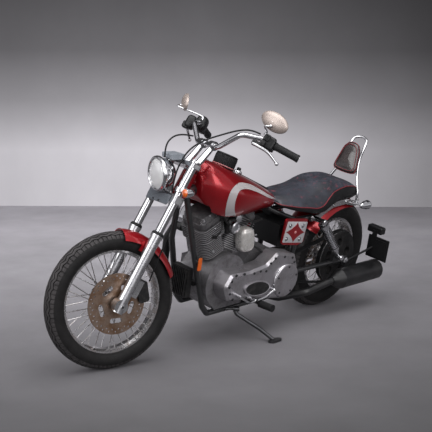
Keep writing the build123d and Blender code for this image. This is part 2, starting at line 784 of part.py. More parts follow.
# Columns: x, top, bottom, half width
tank_rows = [(1150, 906, 800, 48), (1104, 956, 738, 112), (1000, 934, 706, 158), (860, 884, 702, 152),
             (730, 828, 708, 112), (606, 772, 722, 52)]


def crowned_section(x, top, bottom, half):
    """Section across the machine: flat below, round flanks and a crowned top."""
    height = top - bottom
    low = 0.72 * half
    with BuildSketch(Plane(origin=(x, 0, 0), x_dir=(0, 1, 0), z_dir=(1, 0, 0))) as section:
        with BuildLine():
            Line((-low, bottom), (low, bottom))
            ThreePointArc((low, bottom), (half, bottom + 0.42 * height), (0.62 * half, bottom + 0.86 * height))
            ThreePointArc((0.62 * half, bottom + 0.86 * height), (0, top), (-0.62 * half, bottom + 0.86 * height))
            ThreePointArc((-0.62 * half, bottom + 0.86 * height), (-half, bottom + 0.42 * height), (-low, bottom))
        make_face()
    return section.sketch


with BuildPart() as fuel_tank:
    loft([crowned_section(*row) for row in tank_rows])
    add_tube(backbone, backbone_radius + seat_gap, 60, mode=Mode.SUBTRACT)
    with BuildSketch(on_left(-tunnel_half)):
        with BuildLine():
            Polyline((1200, 650), (1200, 800), (1120, 766), (745, 752), (715, 690), (715, 650), close=True)
        make_face()
    extrude(amount=-2 * tunnel_half, mode=Mode.SUBTRACT)
keep(fuel_tank, "fuel_tank")

with BuildPart() as console:
    with BuildSketch(Plane(origin=(600, 0, 776), x_dir=(0, 1, 0), z_dir=(0.93, 0, 0.36))):
        RectangleRounded(58, 22, 6)
    extrude(amount=330)
    add(fuel_tank.part, mode=Mode.SUBTRACT)
keep(console, "console")

with BuildPart() as gauge:
    with Locations(Plane(origin=(972, 0, 912), z_dir=(-0.38, 0, 0.92))):
        Cylinder(56, 70, align=(Align.CENTER, Align.CENTER, Align.MIN))
    add(fuel_tank.part, mode=Mode.SUBTRACT)
keep(gauge, "gauge")

# Rear fender and what it carries
rear_fender_radius = rear_ring + rear_crown + turning_gap + 24
fender_half = 106.0
fender_side = 58.0


with BuildPart() as rear_fender:
    revolve(fender_section(spoke_plane(rear_axle, 36), rear_fender_radius, fender_half, fender_side,
                           fender_wall),
            axis=Axis(rear_axle, (0, -1, 0)), revolution_arc=66)
keep(rear_fender, "rear_fender")

strut_place = fender_half + 5 + seat_gap
strut_holes = [(147, 653), (37, 659)]
strut_hole_radius = 4.2
strut_route = [(330, 612), (262, 614), (220, 640), (150, 668), (40, 674), (-60, 650)]
# Seat
# Columns: x, top, bottom, half width
seat_rows = [(596, 744, 704, 70), (480, 758, 668, 140), (340, 774, 634, 160), (262, 790, 630, 156),
             (160, 795, 640, 138), (20, 775, 664, 120), (-90, 742, 664, 104), (-146, 712, 676, 80)]
with BuildPart() as seat:
    loft([crowned_section(*row) for row in seat_rows])
    with BuildSketch(spoke_plane(rear_axle, 20)) as under:
        with BuildLine():
            Line((-fender_half - 4, 200), (-fender_half - 4, rear_fender_radius - fender_side + seat_gap))
            ThreePointArc((-fender_half - 4, rear_fender_radius - fender_side + seat_gap),
                          (0, rear_fender_radius + 2 * seat_gap),
                          (fender_half + 4, rear_fender_radius - fender_side + seat_gap))
            Line((fender_half + 4, rear_fender_radius - fender_side + seat_gap), (fender_half + 4, 200))
            Line((fender_half + 4, 200), (-fender_half - 4, 200))
        make_face()
    revolve(under.sketch, axis=Axis(rear_axle, (0, -1, 0)), revolution_arc=100, mode=Mode.SUBTRACT)
    for side in fork_rows:
        with BuildSketch(on_left(side * 160)):
            with BuildLine():
                Polyline(*[(x, z + 2) for x, z in strut_route], (-200, 640), (-200, 540), (330, 540), close=True)
            make_face()
        extrude(amount=160 - fender_half + 2, both=True, mode=Mode.SUBTRACT)
keep(seat, "seat")

with BuildPart() as fender_struts:
    for side in fork_rows:
        with BuildSketch(on_left(side * strut_place)):
            with BuildLine():
                Polyline(*strut_route, *[(x - 6, z - 30) for x, z in reversed(strut_route)], close=True)
            make_face()
        extrude(amount=5, both=True)
    for x, z in strut_holes:
        with Locations(Plane(origin=(x, 0, z), z_dir=(0, 1, 0))):
            Cylinder(strut_hole_radius, 400, mode=Mode.SUBTRACT)
keep(fender_struts, "fender_struts")

PAD = Plane(origin=(-96, 0, 868), x_dir=(0, 1, 0), z_dir=(0.95, 0, 0.32))
with BuildPart() as sissy_bar:
    leg = strut_place + 5 + seat_gap + 7.5
    route = [(-54, leg, 630), (-62, leg, 700), (-92, 112, 800), (-122, 90, 880), (-182, 66, 966),
             (-182, -66, 966), (-122, -90, 880), (-92, -112, 800), (-62, -leg, 700), (-54, -leg, 630)]
    add_tube(route, 7.5, 30)
    with BuildSketch(PAD.offset(-seat_gap)):
        RectangleRounded(104, 96, 14)
    extrude(amount=-3)
    for side in fork_rows:
        add_rod(PAD.from_local_coords(Vector(side * 34, 0, -2)), PAD.from_local_coords(Vector(side * 34, 0, -24)), 6)
    add_rod(PAD.from_local_coords(Vector(-96, 0, -21)), PAD.from_local_coords(Vector(96, 0, -21)), 5)
keep(sissy_bar, "sissy_bar")

with BuildPart() as backrest_pad:
    with BuildSketch(PAD):
        with BuildLine():
            Polyline((-76, 78), (76, 78), (60, -60), (36, -84), (-36, -84), (-60, -60), close=True)
        make_face()
        fillet(vertices(), 14)
    extrude(amount=30)
keep(backrest_pad, "backrest_pad")

with BuildPart() as rear_signals:
    for side in fork_rows:
        outer = strut_place + 5 + seat_gap
        add_rod((-14, side * outer, 644), (-14, side * (outer + 10), 644), 6)
        add_rod((-14, side * (outer + 7), 644), (-78, side * 160, 638), 6)
        with BuildSketch(Plane(origin=(-78, side * 165, 638), x_dir=(-1, 0, 0), z_dir=(0, 1, 0))) as bullet:
            with BuildLine():
                Polyline((-40, 0), (-28, 15), (0, 24), (24, 26), (34, 22), (38, 10), (39, 0), close=True)
            make_face()
        revolve(bullet.sketch, axis=Axis((-78, side * 165, 638), (1, 0, 0)), revolution_arc=360)
keep(rear_signals, "rear_signals")

# Rear suspension
shock_top = (300, 600)
shock_low = (88, 362)
spring_radius = 26.0
spring_turns = 13
spring_pitch = 13.5
spring_wire = 7.0
spring_start = 50.0
with BuildPart() as swingarm:
    for side in fork_rows:
        y = side * arm_place
        add_rod((arm_pivot_x, y, arm_pivot_z), (-36, y, rear_axle_height), arm_radius)
        with Locations(Plane(origin=(arm_pivot_x, y, arm_pivot_z), z_dir=(0, 1, 0))):
            Cylinder(20, 2 * arm_radius)
        with Locations(Plane(origin=(0, y, rear_axle_height), z_dir=(0, 1, 0))):
            Cylinder(30, 2 * arm_radius)
        with BuildSketch(on_left(y + side * 8)):
            with BuildLine():
                Polyline((60, 322), (120, 322), (102, 372), (76, 372), close=True)
            make_face()
        extrude(amount=4, both=True)
    add_rod((395, -arm_place, arm_pivot_z), (395, arm_place, arm_pivot_z), 13)
    add_rod((0, -arm_place, rear_axle_height), (0, arm_place, rear_axle_height), rear_axle_radius)
keep(swingarm, "swingarm")

with BuildPart() as shocks:
    for side in fork_rows:
        y = side * 170
        add_rod((shock_top[0], y, shock_top[1]), (shock_low[0], y, shock_low[1]), 9)
        top = Vector(shock_top[0], y, shock_top[1])
        way = (Vector(shock_low[0], y, shock_low[1]) - top).normalized()
        for along in range(spring_turns):
            with Locations(Plane(origin=top + way * (spring_start + spring_pitch * along), z_dir=way)):
                Cylinder(spring_radius, spring_wire)
        for start, length in ((22, 22), (spring_start + spring_pitch * spring_turns - 4, 16)):
            with Locations(Plane(origin=top + way * start, z_dir=way)):
                Cylinder(spring_radius + 2, length, align=(Align.CENTER, Align.CENTER, Align.MIN))
        with Locations(Plane(origin=top + way * 30, z_dir=way)):
            Cylinder(17, 240, align=(Align.CENTER, Align.CENTER, Align.MIN))
        add_rod((shock_top[0], side * (strut_place + 5 + seat_gap), shock_top[1]), (shock_top[0], side * 184, shock_top[1]), 14)
        add_rod((shock_low[0], side * (arm_place + 12 + seat_gap), shock_low[1]),
                (shock_low[0], side * 184, shock_low[1]), 14)
keep(shocks, "shocks")

with BuildPart() as rear_caliper:
    with BuildSketch(on_left(rear_disc_place)):
        with Locations((-84, 404)):
            RectangleRounded(108, 56, 14, rotation=45)
    extrude(amount=30, both=True)
    with Locations(Plane(origin=rear_axle + Vector(0, rear_disc_place, 0), z_dir=(0, 1, 0))):
        Cylinder(disc_radius + 6, disc_thickness + 10, mode=Mode.SUBTRACT)
    with BuildSketch(on_left(rear_disc_place - 24)):
        with BuildLine():
            Polyline((-112, 400), (-70, 444), (24, 336), (16, 302), (-16, 298), close=True)
        make_face()
        with Locations((0, rear_axle_height)):
            Circle(rear_axle_radius + seat_gap, mode=Mode.SUBTRACT)
    extrude(amount=8)
keep(rear_caliper, "rear_caliper")

with BuildPart() as drive_belt:
    with BuildSketch(on_left(pulley_place - belt_width / 2)):
        make_hull([
            *Edge.make_circle(pulley_radius + belt_thickness, Plane((0, rear_axle_height, 0))).edges(),
            *Edge.make_circle(belt_front_radius + belt_thickness, Plane((*belt_front, 0))).edges(),
        ])
    extrude(amount=-belt_width)
    with BuildSketch(on_left(pulley_place - belt_width / 2)):
        make_hull([
            *Edge.make_circle(pulley_radius + seat_gap, Plane((0, rear_axle_height, 0))).edges(),
            *Edge.make_circle(belt_front_radius, Plane((*belt_front, 0))).edges(),
        ])
    extrude(amount=-belt_width, mode=Mode.SUBTRACT)
keep(drive_belt, "drive_belt")

# Side covers and electrics
with BuildPart() as electrics_box:
    with Locations((478, 0, 470)):
        Box(150, 186, 602 - cradle_radius + 2 - seat_gap - 470, align=(Align.CENTER, Align.CENTER, Align.MIN))
keep(electrics_box, "electrics_box")

with BuildPart() as side_covers:
    for side in fork_rows:
        with BuildSketch(on_left(side * (112 + cradle_radius + 5 + seat_gap))):
            with BuildLine():
                Polyline((566, 640), (382, 616), (392, 486), (440, 476), (574, 500), close=True)
            make_face()
            fillet(vertices(), 16)
        extrude(amount=5, both=True)
keep(side_covers, "side_covers")

# Small pieces
with BuildPart() as regulator:
    with Locations((1150, 0, 360)):
        Box(36, 110, 150)
    with Locations((1122, 0, 360)):
        Box(24, 138, 22)
keep(regulator, "regulator")

with BuildPart() as foot_controls:
    for side in fork_rows:
        height = 238 if side > 0 else 262
        add_tube([(770, side * rail_half, 190 + cradle_radius + seat_gap), (770, side * rail_half, height - 8),
                  (770, side * 216, height)], 9, 12)
        add_rod((770, side * 215, height), (770, side * 300, height + 6), 19)
keep(foot_controls, "foot_controls")

with BuildPart() as number_plate:
    add_rod((-10, arm_place + arm_radius + seat_gap, rear_axle_height),
            (-10, arm_place + arm_radius + 8, rear_axle_height), 16)
    add_rod((-10, arm_place + arm_radius + 6, rear_axle_height), (-192, 190, 380), 6)
    with Locations((-196, 222, 383)):
        Box(6, 100, 100)
    with Locations((-201, 222, 383)):
        Box(4, 140, 128)
    with Locations((-196, 190, 450)):
        Box(6, 30, 60)
keep(number_plate, "number_plate")

with BuildPart() as tail_lamp:
    with Locations((-221 - seat_gap, 180, 480)):
        Box(44, 98, 40)
    fillet(tail_lamp.edges(), 8)
keep(tail_lamp, "tail_lamp")

# Side stand, deployed
foot_thickness = 8.0
with BuildPart() as side_stand:
    knee = stand_upright((775, 262, 62))
    heel = stand_upright((stand_foot[0], stand_foot[1], foot_thickness + 4))
    add_tube([tuple(stand_pivot), tuple(stand_pivot + stand_square_way * 22), knee, heel], 10, 30)
    with Locations(Plane(origin=stand_pivot, z_dir=stand_pin)):
        Cylinder(stand_eye_radius, 2 * stand_eye_half)
        Cylinder(stand_pin_radius + bearing_gap, 4 * stand_eye_half, mode=Mode.SUBTRACT)
    foot_plane = Plane(
        origin=stand_upright((stand_foot[0] - 8, stand_foot[1] + 6, 0)),
        x_dir=(1, 0, 0),
        z_dir=(0, -lean_sin, lean_cos),
    )
    with BuildSketch(foot_plane):
        SlotOverall(84, 40)
    extrude(amount=foot_thickness + 4)
keep(side_stand, "side_stand")

# Turn the front end, lean the machine onto its stand and centre it on its footprint
stood = []
for piece, label, turned, in_fork in pieces:
    solid = piece.part
    if in_fork:
        solid = FORK.location * solid
    if turned:
        solid = solid.rotate(steering_axis, steer)
    solid = solid.rotate(Axis.X, -lean).moved(Location((0, 0, -rear_lowest)))
    stood.append((solid, label))

boxes = [solid.bounding_box(optimal=True) for solid, label in stood]
low_x = min(box.min.X for box in boxes)
high_x = max(box.max.X for box in boxes)
low_y = min(box.min.Y for box in boxes)
high_y = max(box.max.Y for box in boxes)
centre_shift = Vector(-(low_x + high_x) / 2, -(low_y + high_y) / 2, 0)
for solid, label in stood:
    placed = solid.moved(Location(centre_shift))
    placed.label = label
    export_step(placed, f"parts/{label}.step")
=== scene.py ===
"""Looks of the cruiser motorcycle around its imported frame.

Pieces are drawn in millimetres and placed in the row frame. They are drawn on the upright
machine (BIKE: x forward from the rear axle, y left, z up from the ground line), round the rear
axle (REAR), in the turned fork's frame (FORK: x ahead of the legs, y left, z up along the legs
from the front axle) or in the backrest's plane (PAD: x left, y up, z out of its face).
"""
import json
from math import asin, atan2, cos, pi, radians, sin, sqrt, tau

import bmesh
import bpy
from mathutils import Matrix, Vector


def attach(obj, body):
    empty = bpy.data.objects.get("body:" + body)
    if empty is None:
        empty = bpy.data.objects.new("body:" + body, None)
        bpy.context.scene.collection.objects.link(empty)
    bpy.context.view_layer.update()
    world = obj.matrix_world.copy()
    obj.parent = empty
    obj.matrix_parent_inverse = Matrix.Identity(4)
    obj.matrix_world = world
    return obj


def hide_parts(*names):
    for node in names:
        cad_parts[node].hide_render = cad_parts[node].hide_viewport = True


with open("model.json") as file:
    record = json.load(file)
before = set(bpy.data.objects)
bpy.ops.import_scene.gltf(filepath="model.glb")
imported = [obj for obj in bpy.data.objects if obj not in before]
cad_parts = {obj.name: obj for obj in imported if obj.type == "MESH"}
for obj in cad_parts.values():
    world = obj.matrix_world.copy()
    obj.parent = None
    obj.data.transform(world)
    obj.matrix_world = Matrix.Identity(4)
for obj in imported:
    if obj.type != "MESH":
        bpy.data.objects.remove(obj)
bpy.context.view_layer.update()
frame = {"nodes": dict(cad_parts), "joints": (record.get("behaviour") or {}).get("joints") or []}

MM = 0.001
joints = {joint["name"]: joint for joint in frame["joints"]}


def frame_of(origin, x_way, y_way, z_way):
    """Matrix that takes millimetres in a frame to metres in the row frame."""
    turn = Matrix((x_way, y_way, z_way)).transposed().to_4x4()
    return Matrix.Translation(origin) @ turn @ Matrix.Scale(MM, 4)


rear_axle_height = 320.0
rear_left = Vector(joints["rear_wheel_spin"]["axis"]).normalized()
rear_up = Vector((1, 0, 0)).cross(rear_left).normalized()
rear_hub = Vector(joints["rear_wheel_spin"]["pos_m"])
BIKE = frame_of(rear_hub - rear_up * rear_axle_height * MM, Vector((1, 0, 0)), rear_left, rear_up)
REAR = frame_of(rear_hub, Vector((1, 0, 0)), rear_left, rear_up)
fork_left = Vector(joints["front_wheel_spin"]["axis"]).normalized()
fork_up = Vector(joints["steering"]["axis"]).normalized()
front_hub = Vector(joints["front_wheel_spin"]["pos_m"])
FORK = frame_of(front_hub, fork_left.cross(fork_up).normalized(), fork_left, fork_up)

# Places that several pieces share, in millimetres
crank = Vector((935, 0, 350))
cylinder_tilt = radians(22.5)
leg_half = 105
stem_ahead = -64.3


# Materials
def new_material(name, colour, rough, metal=0.0, **sockets):
    """Principled material, its node tree and its shader."""
    made = bpy.data.materials.new(name)
    made.use_nodes = True
    shader = made.node_tree.nodes["Principled BSDF"]
    shader.inputs["Base Color"].default_value = (*colour, 1)
    shader.inputs["Roughness"].default_value = rough
    shader.inputs["Metallic"].default_value = metal
    for socket, value in sockets.items():
        shader.inputs[socket.replace("_", " ")].default_value = value
    return made, made.node_tree, shader


def place_node(tree):
    """Object coordinates, in metres of the row frame."""
    return tree.nodes.new("ShaderNodeTexCoord").outputs["Object"]


def noise_node(tree, scale, detail=3.0, rough=0.55):
    node = tree.nodes.new("ShaderNodeTexNoise")
    node.inputs["Scale"].default_value = scale
    node.inputs["Detail"].default_value = detail
    node.inputs["Roughness"].default_value = rough
    tree.links.new(place_node(tree), node.inputs["Vector"])
    return node.outputs["Fac"]


def ramp_node(tree, factor, stops):
    """Colour ramp. Stops: place, red, green, blue."""
    node = tree.nodes.new("ShaderNodeValToRGB")
    while len(node.color_ramp.elements) < len(stops):
        node.color_ramp.elements.new(0.5)
    for element, (at, red, green, blue) in zip(node.color_ramp.elements, stops):
        element.position = at
        element.color = (red, green, blue, 1)
    tree.links.new(factor, node.inputs["Fac"])
    return node.outputs["Color"]


def range_node(tree, factor, low, high, start=0.3, finish=0.7):
    node = tree.nodes.new("ShaderNodeMapRange")
    for socket, value in (("From Min", start), ("From Max", finish), ("To Min", low), ("To Max", high)):
        node.inputs[socket].default_value = value
    tree.links.new(factor, node.inputs["Value"])
    return node.outputs["Result"]


def mix_node(tree, factor, first, second, blend="MIX"):
    """Mix of two colours. Each input is another node's output or a plain value."""
    node = tree.nodes.new("ShaderNodeMix")
    node.data_type = "RGBA"
    node.blend_type = blend
    for socket, value in (("Factor", factor), ("A", first), ("B", second)):
        if isinstance(value, (float, tuple)):
            node.inputs[socket].default_value = value
        else:
            tree.links.new(value, node.inputs[socket])
    return node.outputs["Result"]


def bump_node(tree, shader, height, strength, distance=0.0005):
    node = tree.nodes.new("ShaderNodeBump")
    node.inputs["Strength"].default_value = strength
    node.inputs["Distance"].default_value = distance
    tree.links.new(height, node.inputs["Height"])
    tree.links.new(node.outputs["Normal"], shader.inputs["Normal"])


def tone(colour, factor):
    return tuple(min(1.0, channel * factor) for channel in colour)


def surface(name, colour, rough, metal=0.0, spread=0.12, patch=9.0, grain=400.0, bump=0.05,
            rough_spread=0.06, **sockets):
    """Finish with patchy colour, patchy gloss and a fine grain."""
    made, tree, shader = new_material(name, colour, rough, metal, **sockets)
    patches = noise_node(tree, patch)
    low, high = tone(colour, 1 - spread), tone(colour, 1 + spread)
    tree.links.new(ramp_node(tree, patches, [(0.3, *low), (0.7, *high)]), shader.inputs["Base Color"])
    tree.links.new(range_node(tree, noise_node(tree, patch * 3.1), max(0.02, rough - rough_spread),
                              rough + rough_spread), shader.inputs["Roughness"])
    bump_node(tree, shader, noise_node(tree, grain), bump)
    return made


def worn_surface(name, colour, worn, rough, metal, amount=0.56, patch=34.0, **sockets):
    """Finish with stained or worn patches of a second colour. Amount: where the patches start."""
    made, tree, shader = new_material(name, colour, rough, metal, **sockets)
    stains = noise_node(tree, patch, 7.0, 0.65)
    tree.links.new(ramp_node(tree, stains, [(amount - 0.16, *colour), (amount + 0.12, *worn)]),
                   shader.inputs["Base Color"])
    tree.links.new(range_node(tree, noise_node(tree, patch * 2), rough - 0.08, rough + 0.16),
                   shader.inputs["Roughness"])
    bump_node(tree, shader, noise_node(tree, 620.0), 0.14)
    return made


def candy_paint(name, colour, deep):
    """Clear-coated metallic red that darkens in slow patches, with fine flakes."""
    made, tree, shader = new_material(name, colour, 0.3, 0.55, Coat_Weight=1.0, Coat_Roughness=0.03,
                                      Coat_IOR=1.3)
    clouds = ramp_node(tree, noise_node(tree, 5.0), [(0.3, *deep), (0.7, *colour)])
    flakes = ramp_node(tree, noise_node(tree, 5200.0, 0.0),
                       [(0.4, *tone(deep, 0.8)), (0.66, *tone(colour, 1.8))])
    tree.links.new(mix_node(tree, 0.22, clouds, flakes), shader.inputs["Base Color"])
    bump_node(tree, shader, noise_node(tree, 70.0), 0.012)
    return made


def seat_leather():
    """Blue-black grained leather with dull red flecks and creases."""
    made, tree, shader = new_material("seat_leather", (0.02, 0.022, 0.03), 0.46, 0.0)
    grain = tree.nodes.new("ShaderNodeTexVoronoi")
    grain.inputs["Scale"].default_value = 520.0
    tree.links.new(place_node(tree), grain.inputs["Vector"])
    flecks = range_node(tree, noise_node(tree, 34.0, 8.0, 0.75), 0.0, 0.8, 0.57, 0.66)
    cloud = ramp_node(tree, noise_node(tree, 13.0, 6.0),
                      [(0.32, 0.011, 0.012, 0.017), (0.7, 0.03, 0.033, 0.045)])
    dull_red = (0.17, 0.035, 0.05, 1)
    tree.links.new(mix_node(tree, flecks, cloud, dull_red), shader.inputs["Base Color"])
    tree.links.new(range_node(tree, noise_node(tree, 60.0), 0.38, 0.62), shader.inputs["Roughness"])
    bump_node(tree, shader, grain.outputs["Distance"], 0.28, 0.0006)
    return made


def woven_mesh_painted_shade(name, colour):
    """Grey panel with a fine diamond mesh pressed into it, with painted shade in its grooves and a painted
    highlight on its ridges.
    """
    made, tree, shader = new_material(name, colour, 0.45, 0.6)
    waves = []
    for turn in (pi / 4, -pi / 4):
        mapping = tree.nodes.new("ShaderNodeMapping")
        mapping.inputs["Rotation"].default_value = (0, turn, turn)
        tree.links.new(place_node(tree), mapping.inputs["Vector"])
        wave = tree.nodes.new("ShaderNodeTexWave")
        wave.inputs["Scale"].default_value = 95.0
        tree.links.new(mapping.outputs["Vector"], wave.inputs["Vector"])
        waves.append(wave.outputs["Fac"])
    join = tree.nodes.new("ShaderNodeMath")
    join.operation = "MAXIMUM"
    tree.links.new(waves[0], join.inputs[0])
    tree.links.new(waves[1], join.inputs[1])
    # The mesh's height also sets its colour: painted shade in the grooves, painted highlight on the ridges.
    tree.links.new(ramp_node(tree, join.outputs["Value"],
                             [(0.4, *tone(colour, 0.55)), (0.9, *tone(colour, 1.5))]),
                   shader.inputs["Base Color"])
    bump_node(tree, shader, join.outputs["Value"], 0.4, 0.0008)
    return made


MATERIALS = {
    "tyre": surface("tyre_rubber", (0.00828, 0.00773, 0.00787), 0.66, spread=0.35, patch=30.0, grain=900.0,
                    bump=0.14, Specular_IOR_Level=0.22),
    # Lighter rubber for the tread's top faces: a painted highlight
    "tread": surface("tyre_tread_painted_highlight", (0.0359, 0.0331, 0.0338), 0.8, spread=0.3, patch=30.0, grain=700.0,
                     bump=0.2, Specular_IOR_Level=0.24),
    "chrome": surface("chrome", (0.566, 0.566, 0.58), 0.14, 1.0, spread=0.05, rough_spread=0.03, bump=0.01),
    "worn_chrome": worn_surface("worn_chrome", (0.524, 0.517, 0.524), (0.345, 0.276, 0.241), 0.24, 1.0,
                                0.64, 26.0),
    "alloy": surface("polished_alloy", (0.483, 0.483, 0.497), 0.28, 1.0, spread=0.07, bump=0.05),
    "grey_alloy": worn_surface("grey_alloy", (0.373, 0.359, 0.38), (0.248, 0.235, 0.241), 0.34, 0.85, 0.6,
                               16.0),
    "cast_alloy": worn_surface("cast_alloy", (0.235, 0.228, 0.238), (0.138, 0.131, 0.135), 0.44, 0.75, 0.58,
                               24.0),
    "fin_metal": worn_surface("fin_metal", (0.069, 0.0669, 0.0718), (0.138, 0.131, 0.131), 0.42, 0.35, 0.58,
                              60.0),
    "fin_edge": worn_surface("fin_edge", (0.428, 0.421, 0.435), (0.276, 0.269, 0.269), 0.3, 0.45, 0.62,
                             60.0),
    "disc": worn_surface("disc_steel", (0.324, 0.248, 0.2), (0.179, 0.103, 0.0621), 0.36, 0.9, 0.52, 22.0),
    "black": surface("black_paint", (0.011, 0.011, 0.0117), 0.32, 0.0, Coat_Weight=0.4, Coat_Roughness=0.2),
    "black_metal": worn_surface("black_metal", (0.0138, 0.0138, 0.0145), (0.0517, 0.0483, 0.0469), 0.42,
                                0.5, 0.62, 50.0),
    "muffler": worn_surface("muffler_black", (0.00552, 0.00552, 0.00621), (0.0207, 0.0193, 0.0193), 0.38,
                            0.1, 0.64, 12.0),
    "rubber": surface("black_rubber", (0.00828, 0.00828, 0.00897), 0.6, bump=0.12, Specular_IOR_Level=0.24),
    "plastic": surface("black_plastic", (0.0069, 0.0069, 0.00759), 0.42, bump=0.08,
                       Specular_IOR_Level=0.28),
    "red": candy_paint("candy_red", (0.324, 0.00414, 0.00897), (0.186, 0.00207, 0.00552)),
    "stripe": surface("silver_stripe", (0.414, 0.38, 0.386), 0.36, 0.1, spread=0.08, Coat_Weight=1.0,
                      Coat_Roughness=0.04),
    "silver": surface("silver_plate", (0.497, 0.49, 0.504), 0.36, 0.35, spread=0.1),
    "cream": worn_surface("cream_chrome", (0.566, 0.552, 0.531), (0.4, 0.366, 0.338), 0.24, 0.45, 0.6,
                          14.0),
    "seat": seat_leather(),
    "pad": surface("pad_vinyl", (0.0152, 0.00966, 0.00897), 0.24, spread=0.45, patch=26.0, grain=300.0,
                   bump=0.12, Coat_Weight=0.5, Coat_Roughness=0.15),
    "piping": surface("red_piping", (0.138, 0.00828, 0.0138), 0.45, grain=700.0, bump=0.1),
    "mesh": woven_mesh_painted_shade("mesh_panel_painted_shade", (0.117, 0.128, 0.145)),
    "amber": surface("amber_lens", (0.517, 0.0897, 0.0069), 0.2, Coat_Weight=1.0),
    "orange": surface("orange_cap", (0.552, 0.0966, 0.0069), 0.45),
    "bolt": surface("bolt_steel", (0.0621, 0.0621, 0.0655), 0.35, 0.9),
    "mirror": surface("mirror_back", (0.345, 0.29, 0.262), 0.42, 0.5, spread=0.1, bump=0.01),
    "reflector": surface("lamp_reflector", (0.95, 0.95, 0.97), 0.34, 0.5, spread=0.03, patch=60.0,
                         bump=0.03),
    "pink": surface("pink_trim", (0.428, 0.166, 0.166), 0.35),
    "box_grey": surface("box_grey", (0.228, 0.248, 0.276), 0.4, 0.3, spread=0.15, patch=30.0),
    "glass": surface("lamp_glass", (0.97, 0.97, 0.98), 0.06, 0.0, Transmission_Weight=0.5, Coat_Weight=1.0),
}

finish_of = {
    "front_tyre": "tyre", "rear_tyre": "tyre", "front_wheel": "worn_chrome", "rear_wheel": "worn_chrome",
    "front_disc": "disc", "rear_disc": "disc", "rear_pulley": "black_metal", "fork_sliders": "alloy",
    "fork_tubes": "chrome", "triple_trees": "alloy", "front_axle": "chrome", "front_caliper": "black_metal",
    "front_fender": "red", "headlight_shell": "chrome", "headlight_lens": "glass", "fork_bar": "mesh",
    "instrument_box": "box_grey", "front_signals": "chrome", "handlebar": "chrome", "risers": "chrome",
    "grips": "rubber", "switch_housings": "plastic", "levers": "alloy", "mirrors": "mirror",
    "cables": "rubber", "brake_hose": "rubber", "frame": "black", "engine_cases": "cast_alloy",
    "gearbox": "cast_alloy", "front_cylinder": "fin_metal", "rear_cylinder": "fin_metal",
    "pushrod_tubes": "chrome", "intake": "chrome", "primary_cover": "grey_alloy", "horn": "cream",
    "exhaust_left": "muffler", "exhaust_right": "muffler", "fuel_tank": "red", "console": "plastic",
    "gauge": "plastic", "rear_fender": "red", "seat": "seat", "fender_struts": "worn_chrome",
    "sissy_bar": "chrome", "backrest_pad": "pad", "rear_signals": "chrome", "swingarm": "black",
    "shocks": "chrome", "rear_caliper": "black_metal", "drive_belt": "rubber", "electrics_box": "plastic",
    "side_covers": "red", "regulator": "black_metal", "foot_controls": "rubber", "number_plate": "plastic",
    "tail_lamp": "plastic", "side_stand": "bolt",
}
sharp_angle = radians(32)
for name, node in frame["nodes"].items():
    node.data.materials.clear()
    node.data.materials.append(MATERIALS[finish_of[name]])
    node.data.polygons.foreach_set("material_index", [0] * len(node.data.polygons))
    node.data.polygons.foreach_set("use_smooth", [True] * len(node.data.polygons))
    node.data.set_sharp_from_angle(angle=sharp_angle)


def cylinder_line(way):
    """Direction up one cylinder on the upright machine: the front one for 1, the rear one for -1."""
    return Vector((sin(way * cylinder_tilt), 0, cos(way * cylinder_tilt)))


# The fins' outer edges take a lighter metal: faces along the cylinder's line, thin and far from it.
edge_slope, edge_thickness, edge_distance = 0.2, 6 * MM, 52 * MM
crank_place = BIKE @ crank
for name, way in (("front_cylinder", 1), ("rear_cylinder", -1)):
    mesh = frame["nodes"][name].data
    mesh.materials.append(MATERIALS["fin_edge"])
    line = (BIKE.to_3x3() @ cylinder_line(way)).normalized()
    for face in mesh.polygons:
        out = face.center - crank_place
        heights = [(mesh.vertices[index].co - crank_place).dot(line) for index in face.vertices]
        thin = max(heights) - min(heights) < edge_thickness
        far = (out - line * out.dot(line)).length > edge_distance
        if thin and far and abs(face.normal.dot(line)) < edge_slope:
            face.material_index = 1


